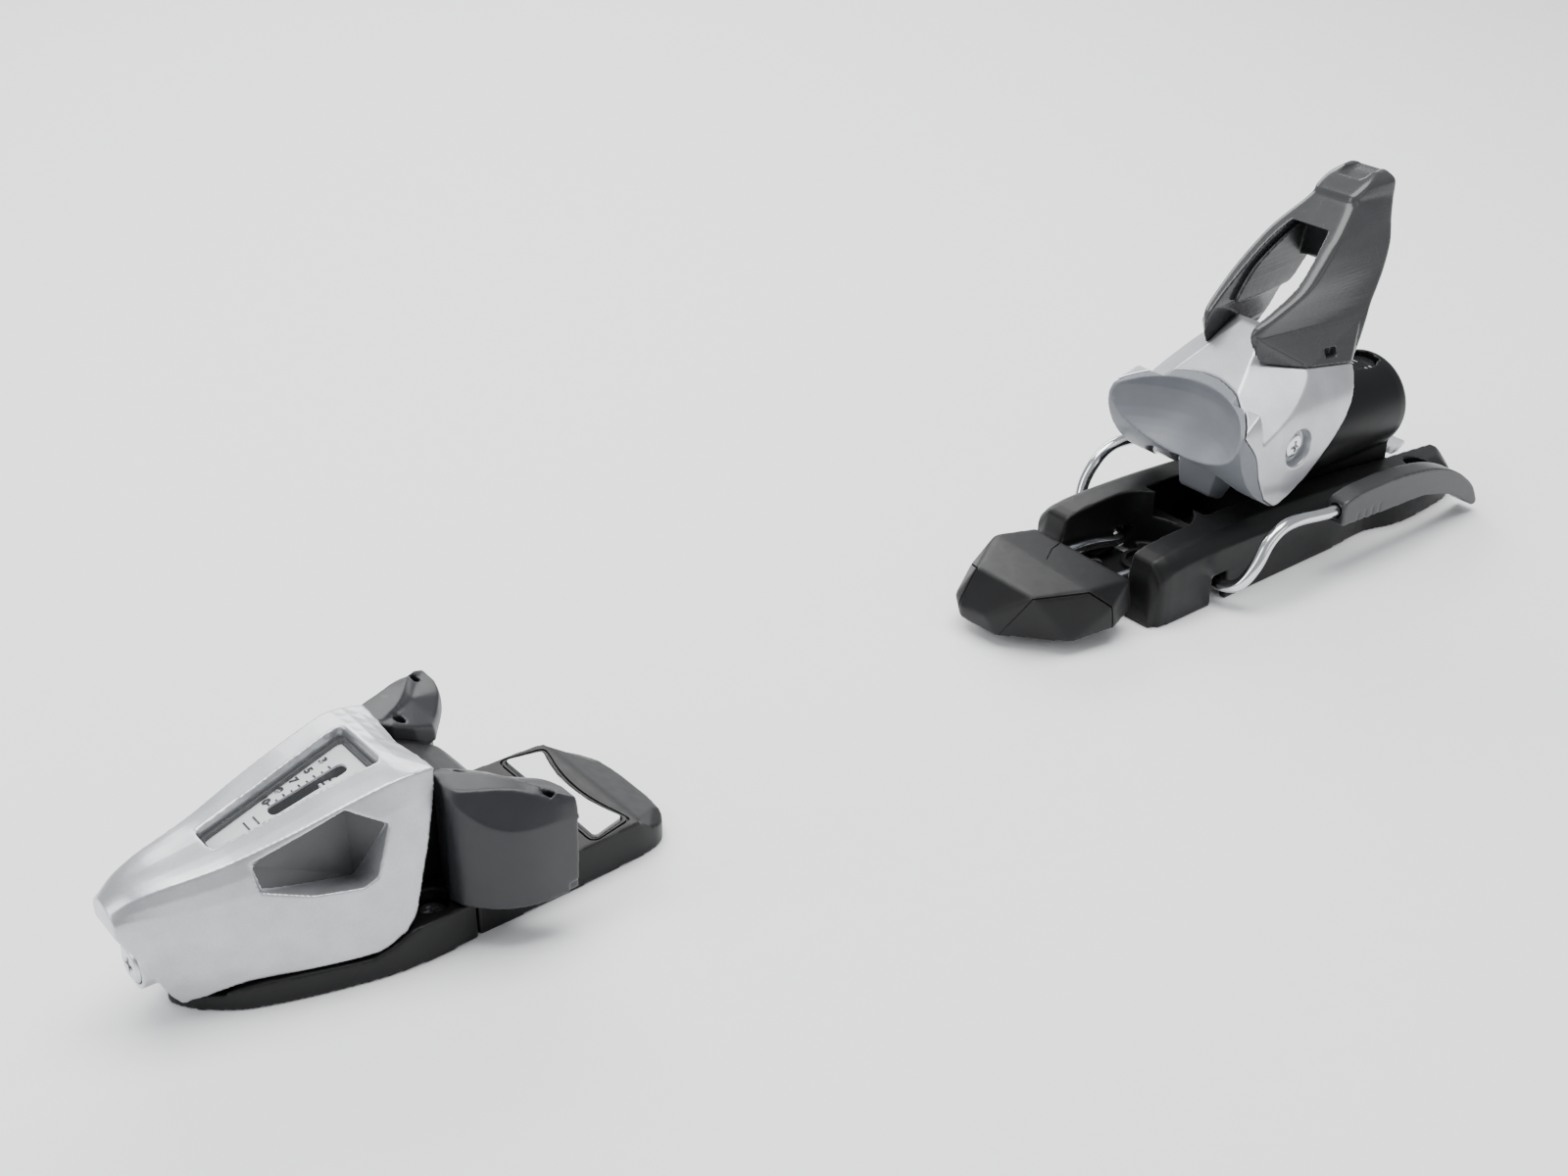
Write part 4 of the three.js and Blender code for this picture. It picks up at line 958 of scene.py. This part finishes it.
def barrel_scale():
    """Oval window on the barrel: lens, pale ticks, and the red mark."""
    oval = [[496 + 7.5 * math.cos(a), 7 * math.sin(a)] for a in (math.tau * k / 48 for k in range(48))]
    lens = common(tall(oval, 51.7, 53.1), rod("s", 17.2, 480, 512, (0, 0, 36.3), 96))
    edged(lens, 0.2)
    finish_piece(lens, "heel_window_lens", "carriage", "clear_lens", "heel_window")
    for k in range(5):
        s = 491.4 + k * 2.3
        for side, word in SIDES:
            bar = block(s, s + 0.55, *span(side, 2.6, 4.6 - 0.5 * (k % 2)), 51.25, 51.45)
            finish_piece(bar, f"heel_tick_{k + 1}_{word}", "carriage", "scale_white", paint=STRIPE)
    mark = block(495.8, 497.2, -1.9, 1.9, 50.25, 50.5)
    finish_piece(mark, "heel_pointer_mark", "spring_seat", "foot_grey", paint=RED)


def heel_adjust_screw():
    profile = [(479, 3.2), (500.6, 3.2), (500.7, 6.2), (507.6, 6.2), (508.2, 5.8), (508.6, 5)]
    head = turned("s", profile, BARREL)
    cut(head, cross_recess("s", (509.5, 505.6), BARREL, 3.9, 0.85))
    edged(head, 0.15, 2)
    finish_piece(head, "heel_adjust_screw_head", "heel_screw", "zinc_steel", "heel_adjust_screw")


# ---- cup and jaw ----

def cup_form(grow=0.0):
    """The outer form that cup and jaw share, grown by a little where a neighbour needs room."""
    g = grow
    side = [
        [393.6 - g, 62.8 + g, 1.5], [391.8 - g, 58.5, 3], [393.4 - g, 51, 4], [397.4 - g, 43.4 - g, 4],
        [404 - g, 36.2 - g, 4], [416.6, 28 - g, 5], [429.8 + g, 35.4 - g, 6], [441.6 + g, 45 - g, 6],
        [450.6 + g, 56, 6], [456.6 + g, 71.2, 2], [455.6 + g, 74.6 + g, 1.5], [440, 82.6 + g, 5],
        [431, 86 + g, 2.5], [418.6, 77.2 + g, 1.5], [407.6 - g, 69.2 + g, 1.5],
    ]
    front = front_view([
        [20, 0, 0], [20, 29 + g, 0], [38, 31 + g, 6], [56, 31.2 + g, 6], [63.5 + g, 30.4 + g, 5],
        [72.6 + g, 25.6 + g, 3], [83.4 + g, 13, 3], [87 + g, 0, 0],
    ])
    form = common(slab(side, -40, 40), run(front, 380, 480))
    for side in (1, -1):  # facets that fall away from the spine in front
        plane = on_side(side, [(s, y, -96.5 + 0.4315 * s - 0.69 * y + g) for s in (404, 446)
                               for y in (2, 42)])
        cut(form, hull(plane + [(s, y, 130) for s, y, _ in plane]))
    return form


# s and z of the line where each cheek's strip of the jaw ends
CHEEK_LINE = [[409.1, 34], [403.9, 43.7], [400.9, 53.2], [393.2, 63.2]]


def jaw_zone(grow=0.0):
    """Where the jaw insert lies: a strip on each cheek and a round shell behind the boot heel."""
    g = grow
    cheek = [[380, 15], [417 + g, 15], [416.6 + g, 28.4]]
    cheek += [[s + g, z] for s, z in flow(CHEEK_LINE, 3)] + [[380, 64]]
    shell = [
        [380, 15], [414 + g, 15], [414 + g, 55, 2], [412.5 + g, 64.4], [412 + g, 76], [380, 76],
    ]
    rim = rod("z", 36.4 + g, 10, 80, (374, 0, 0), 128)
    spur_root = block(380, 414 + g, -12.6 - g, 12.6 + g, 15, 50 + g)
    return join(slab(cheek, -40, 40), common(slab(shell, -31.5, 31.5), rim), spur_root)


def heel_cup():
    shell = cup_form()
    hollow = common(
        slab([[414.2, 10], [414.2, 58, 2], [413.8, 66, 3], [431, 79.6, 3], [452, 72], [480, 72],
              [480, 10]], -27, 27),
        run(front_view([
            [10, 0, 0], [10, 27, 0], [60, 26.6, 4], [64, 22, 3], [78, 6, 3], [78, 0, 0]]), 380, 490),
    )
    cut(shell, hollow)
    for side in (1, -1):  # hubs round the axle
        join(shell, common(rod("y", 9.4, *span(side, 17, 28), AXLE), cup_form(-1)))
    cut(shell, jaw_zone(GAP), heel_seat(), lever_legs(GAP), block(441, 480, -18.6, 18.6, 30, 100),
        rod("y", 3.5, -40, 40, AXLE))
    for side in (1, -1):
        cut(shell, turned("y", [(side * 27, 6.5), (side * 31.4, 7.1), (side * 34, 8.4)], AXLE))
    moulded(shell, 0.42, 3, 0.4)
    finish_piece(shell, "heel_cup_shell", "cup", "silver_shell", "heel_cup")


def heel_seat():
    """The round hollow that takes the back of the boot's heel."""
    return turned("z", [
        (44, 24), (47.2, 27.6), (49.4, 29.8), (51.5, 31.6), (54.5, 33.3), (57.5, 34.2), (60, 34.7),
        (62.5, 34.8), (65.4, 34.2), (68, 33.2), (76, 30),
    ], (374, 0, 0), 128)


def heel_jaw():
    """The grey insert that the boot's heel presses on, with the spur that it steps down on."""
    body = common(cup_form(), jaw_zone())
    arch = run(front_view([
        [10, 0, 0], [10, 22, 0], [30, 24.5, 5], [41, 18, 9], [43.5, 0, 0]]), 380, 430)
    cut(body, heel_seat(), arch, rod("y", 10.4, -16, 16, AXLE),
        rod("y", 9.4 + GAP, -28, 28, AXLE))
    spur_side = [
        [404, 46.5], [408.6, 41, 2], [408, 26.4, 2], [416.5, 22, 2], [422, 29, 2], [413.8, 38, 1],
        [413.8, 47],
    ]
    spur = common(slab(spur_side, -12, 12), run(front_view([
        [20, 0, 0], [20, 5.6, 2], [28, 7.4, 3], [40, 9.6, 3], [48, 12, 0], [48, 0, 0]]), 400, 426))
    lower = new_object("spur_low", spur.data.copy())
    join(body, common(spur, block(400, 413.9, -20, 20, 20, 47)),
         common(lower, block(408, 424, -20, 20, 20, 40)))
    moulded(body, 0.42, 4, 0.4)
    finish_piece(body, "heel_jaw_insert", "cup", "jaw_grey", "heel_jaw")


def axle_screws():
    for side, word in SIDES:
        profile = [(27.35, 4.4), (28.6, 4.4), (29.1, 4.1), (29.4, 3.3)]
        screw = turned("y", [(side * h, r) for h, r in profile], AXLE)
        cut(screw, cross_recess("y", (side * 30.4, side * 27.9), AXLE, 2.9, 0.7))
        edged(screw, 0.15, 2)
        finish_piece(screw, f"axle_screw_{word}_head", "cup", "bright_steel", f"axle_screw_{word}")


# ---- step-out lever ----

LEVER_LEVELS = [
    # z, front s, front y, rear s, rear y, leg width in front
    [66, 420, 9.6, 453, 26.6, 0.2],
    [77, 418.6, 10.4, 462.4, 24, 0.4],
    [85, 416.6, 12, 467, 22.6, 3.6],
    [90, 418, 13.2, 470.6, 21, 5],
    [95, 426, 15.2, 474.6, 19.8, 5.2],
    [101, 436, 16.8, 479.6, 18, 5.4],
    [108, 444.5, 16, 484, 15.9, 5.4],
    [113, 450.4, 14.8, 486, 14, 5.6],
    [116.6, 455.4, 13.4, 486.6, 13, 6],
    [123.6, 465.2, 9.8, 488, 11.6, 5],
    [127, 467.6, 9.4, 488.4, 11.4, 5],
    [130.2, 473, 9, 488, 11, 5],
    [132.6, 479, 7, 486.6, 8, 5],
]
LOOP_LEVELS = 9  # the opening between the legs ends at the last of these levels


def lever_ring(level, grow=0.0):
    z, front_s, front_y, rear_s, rear_y = level[:5]
    s0, y0, s1, y1 = front_s - grow, front_y + grow, rear_s + grow, rear_y + grow
    outline = rounded([[s0, -y0, 3], [s1, -y1, 2.6], [s1, y1, 2.6], [s0, y0, 3]])
    return [(s, y, z) for s, y in outline]


def lever_loop(extra):
    """The opening between the legs, its walls moved inwards by extra."""
    rings = []
    for z, front_s, front_y, rear_s, rear_y, width in flow(LEVER_LEVELS[:LOOP_LEVELS]):
        front, rear = max(front_y - max(width, 0) - extra, 0.6), rear_y - 3 - extra
        s0, s1 = front_s - 12, rear_s + 12
        rings.append([(s0, -front, z), (s1, -rear, z), (s1, rear, z), (s0, front, z)])
    return skin(rings)


def foot_flesh(side):
    """Rounds a leg's foot out from the cup's facets up to the leg."""
    return hull(on_side(side, [
        (418.7, 10.6, 77), (425, 15.5, 76.2), (431, 20.3, 75.5), (436, 22.9, 74.9), (455.5, 25.6, 72.6),
        (458, 24.8, 72.4), (417.4, 12.6, 87), (463, 21.6, 86), (456, 20, 74), (440, 16, 76),
        (424, 10.6, 80),
    ]))


def lever_legs(grow=0.0):
    """The lever down to the line where its feet end, flush with the cup, grown for the cup's recess."""
    body = skin([lever_ring(level, grow) for level in flow(LEVER_LEVELS, 5)])
    join(body, common(cup_form(grow), block(410, 470, -40, 40, 66, 90)), foot_flesh(1), foot_flesh(-1))
    line = [[s, z - grow] for s, z in ((410, 78), (418.7, 77), (455.5, 72.5), (500, 67.1))]
    cut(body, lever_loop(grow))
    return common(body, slab(line + [[500, 140], [410, 140]], -40, 40))


def heel_lever():
    body = lever_legs()
    dish = turned("y", [(-5.6, 26), (-4.6, 27), (4.6, 27), (5.6, 26)], (477.5, 0, 157.6), 96)
    front_step = hull([(s, y, z) for y in (-12, 12) for s, z in (
        (463.4, 125), (468.2, 130.6), (468.2, 132), (463, 132))])
    cut(body, dish, front_step)
    for side in (1, -1):
        # long hollow along the outer face of each leg, and the clip's slot in its foot
        cut(body, hull(on_side(side, [
            (442, 21.4, 86), (458, 23.4, 80), (470, 19, 103), (458, 17.4, 105),
            (442, 30, 86), (458, 30, 80), (470, 30, 103), (458, 30, 105)])))
        cut(body, block(444, 449.6, *span(side, 20, 32), 76, 79.4))
    moulded(body, 0.4, 4, 0.6)
    finish_piece(body, "heel_lever_frame", "cup", "lever_smoke", "heel_lever")


def lever_core():
    """The darker liner of the lever's loop, and the web under its cap."""
    band = slab([
        [431, 90, 3], [442, 101.5, 8], [452, 109, 8], [462, 115.6, 4], [483, 115.6, 2], [481, 106, 4],
        [474, 96, 6], [469, 88, 3], [446, 88, 10],
    ], -30, 30)
    body = common(cut(lever_loop(GAP), lever_loop(1.9)), band)
    web = common(lever_loop(GAP), slab([[464, 115.6], [469, 99, 3], [476, 99, 2], [482, 115.6]], -30, 30))
    join(body, web)
    cut(body, cup_form(GAP * 2))
    moulded(body, 0.45, 3, 0.6)
    finish_piece(body, "lever_core_liner", "cup", "foot_grey", "lever_core")


# ==== BRAKE ====

BRAKE_ARM_Y, WIRE_R = 41.3, 2.3
PEDAL_POINTS = [
    # corners of the flat top
    (311.2, -16.1, 22.4), (311.2, 11.6, 22.6), (332.5, 24.9, 22.8), (349.6, 21.4, 21),
    (350.6, -23.5, 19.6), (330, -23.6, 21.9),
    # front edge
    (306.2, -3.9, 4), (304.3, 11.2, 5), (307.2, 12.2, 16), (316.7, 19.9, 18.6), (304.4, -1, 11),
    (303.6, 11.6, 10), (306.6, 17, 11),
    # sides and underside
    (322, -24.5, 5), (340, -27.8, 6), (352, -24, 8), (338, -28, 15), (352, 24, 8), (340, 28, 6),
    (322, 25, 4.6), (338, 28, 15),
]
WIRE_PATH = [
    (345, 12.6, 13.2), (356, 12.6, 12.8), (370, 12.6, 11.4), (381, 12.6, 9), (386.4, 13.6, 7.9),
    (BRAKE_S, 18, BRAKE_Z), (BRAKE_S, 26, BRAKE_Z), (389.6, 33, 7.6), (391, 38.6, 10.2),
    (395, BRAKE_ARM_Y, 17), (400.5, BRAKE_ARM_Y, 24.4), (407, BRAKE_ARM_Y, 28.2),
    (416, BRAKE_ARM_Y, 28.6), (430, BRAKE_ARM_Y, 26.4), (447, BRAKE_ARM_Y, 24.4),
]


def brake_wires():
    for side, word in SIDES:
        wire = wire_piece(on_side(side, WIRE_PATH), WIRE_R - 0.02, 24)
        finish_piece(wire, f"brake_wire_{word}_rod", "brake", "bright_steel", f"brake_wire_{word}")
        coil = [(BRAKE_S + 3.8 * math.cos(a), side * (20.6 + 5.6 * a / (3 * math.tau)),
                 BRAKE_Z + 3.8 * math.sin(a)) for a in (3 * math.tau * k / 36 for k in range(37))]
        spring = wire_piece(coil, 0.88, 12)
        finish_piece(spring, f"brake_spring_{word}_coil", "brake", "bright_steel", f"brake_spring_{word}")


def score(path, wide=0.55, deep=1.5):
    """A thin upright blade along a path on the pedal, aimed at the pedal's middle."""
    middle = Vector((330, 0, 12))
    blades = []
    for p, q in zip(path, path[1:]):
        p, q = Vector(p), Vector(q)
        out = ((p + q) / 2 - middle).normalized()
        aside = out.cross(q - p).normalized() * wide / 2
        blades.append(hull([end + out * reach + aside * sign for end in (p, q) for reach in (3, -deep)
                            for sign in (-1, 1)]))
    return join(*blades)


def brake_pedal():
    body = hull(PEDAL_POINTS)
    for side in (1, -1):
        cut(body, swept(on_side(side, WIRE_PATH), WIRE_R + GAP, 20))
    moulded(body, 0.6, 22, 0.7)
    grooves = [
        [(305.4, -4.4, 3), (311.2, -15.6, 22), (330, -23.4, 21.4), (337.4, -27.6, 15), (339, -27.4, 5)],
        [(304, 11.4, 4), (306.9, 12, 15.6), (311.4, 11.4, 22.2), (316.6, 19.8, 18.4), (322, 25, 4)],
        [(335.4, 1.6, 22.6), (343, 6.6, 21.9), (349.8, 9, 20.8)],
    ]
    crisp(body, *(score(path) for path in grooves))
    finish_piece(body, "brake_pedal_plate", "brake", "black_shell", "brake_pedal")


def brake_feet():
    outline = [
        [437, 20.4, 1], [437, 29.6, 2.5], [446, 31.4, 4], [470, 31, 10], [492, 27.4, 10], [507, 21.4, 8],
        [519, 12, 6], [523.4, 3.4, 1.6], [521, 2.2, 1.4], [514, 7.4, 6], [503, 13.4, 8], [488, 17.6, 10],
        [462, 18.8, 8],
    ]
    for side, word in SIDES:
        body = slab(outline, *span(side, BRAKE_ARM_Y - 3.9, BRAKE_ARM_Y + 3.9))
        cut(body, swept(on_side(side, WIRE_PATH), WIRE_R + GAP, 20))
        for k in range(4):  # grip grooves in both faces
            s = 446 + k * 4.2
            for face in (-1, 1):
                cut(body, rod("z", 0.9, 15, 23.4, (s, side * BRAKE_ARM_Y + face * 4.5, 0), 16))
        moulded(body, 0.5, 7, 0.6)
        finish_piece(body, f"brake_foot_{word}_shoe", "brake", "foot_grey", f"brake_foot_{word}")


def heel_unit():
    for make in (heel_base, pocket_post, heel_housing, barrel_scale, heel_adjust_screw, heel_cup, heel_jaw,
                 axle_screws, heel_lever, lever_core):
        make()
    coil_spring("heel_spring", (11, 5), 1.48, BARREL_Z, (466.4, 491))
    for k, place in enumerate(HEEL_SCREWS):
        mounting_screw(f"heel_mounting_screw_{k + 1}", *place)


# ==== CAMERA, LIGHT AND FLOOR ====

CAMERA_PLACE = (-0.38325, -0.41688, 0.35715)
CAMERA_TURN = (51.2577, 29.6816, 0.2811)  # yaw, downward pitch and roll, in degrees
CAMERA_LENS, CAMERA_SENSOR = 46.16, 36


def camera():
    """The photograph's own viewpoint."""
    yaw, pitch, roll = (math.radians(a) for a in CAMERA_TURN)
    forward = Vector((math.cos(pitch) * math.cos(yaw), math.cos(pitch) * math.sin(yaw), -math.sin(pitch)))
    level = forward.cross(Vector((0, 0, 1))).normalized()
    upright = level.cross(forward)
    right = math.cos(roll) * level + math.sin(roll) * upright
    up = -math.sin(roll) * level + math.cos(roll) * upright
    data = bpy.data.cameras.new("camera")
    data.sensor_width = CAMERA_SENSOR
    data.lens = CAMERA_LENS
    data.clip_start = 0.01
    obj = new_object("camera", data)
    turn = Matrix((right, up, -forward)).transposed().to_4x4()
    obj.matrix_world = Matrix.Translation(CAMERA_PLACE) @ turn
    bpy.context.scene.camera = obj


LAMP_AIM = (0, 0, 0.03)
LAMPS = [
    # name, place, size, power
    ["overhead", (0.05, 0.1, 1.3), (1.3, 0.8), 26],
    ["back", (0.5, 1.2, 0.8), (1.4, 0.5), 15],
    ["left", (-1.2, 0.3, 0.7), (0.5, 1.0), 7],
    ["near", (0.3, -1.3, 0.6), (1.2, 0.4), 2.2],
]


def lamp(name, place, size, power):
    """A soft rectangular light in metres and watts, aimed at the binding."""
    data = bpy.data.lights.new(name, "AREA")
    data.shape = "RECTANGLE"
    data.size, data.size_y = size
    data.energy = power
    obj = new_object(name, data)
    obj.location = place
    obj.rotation_euler = (Vector(LAMP_AIM) - Vector(place)).to_track_quat("-Z", "Y").to_euler()


def studio():
    """Paper floor, pale surroundings and four lamps."""
    floor = tall([[-3000, -3000], [3500, -3000], [3500, 3500], [-3000, 3500]], -3.2, -0.2)
    floor.name = "floor"
    floor.data.materials.append(material("floor_paper", (0.97, 0.975, 0.98), 0.7, spread=0.01, grain=300,
                                         depth=0.004))
    world = bpy.data.worlds.new("studio")
    bpy.context.scene.world = world
    world.use_nodes = True
    background = world.node_tree.nodes["Background"].inputs
    background["Color"].default_value = (0.93, 0.96, 1, 1)
    background["Strength"].default_value = 0.5
    for row in LAMPS:
        lamp(*row)


for make_part in (camera, paint_frame, toe_unit, heel_unit, brake_wires, brake_pedal, brake_feet, studio):
    make_part()
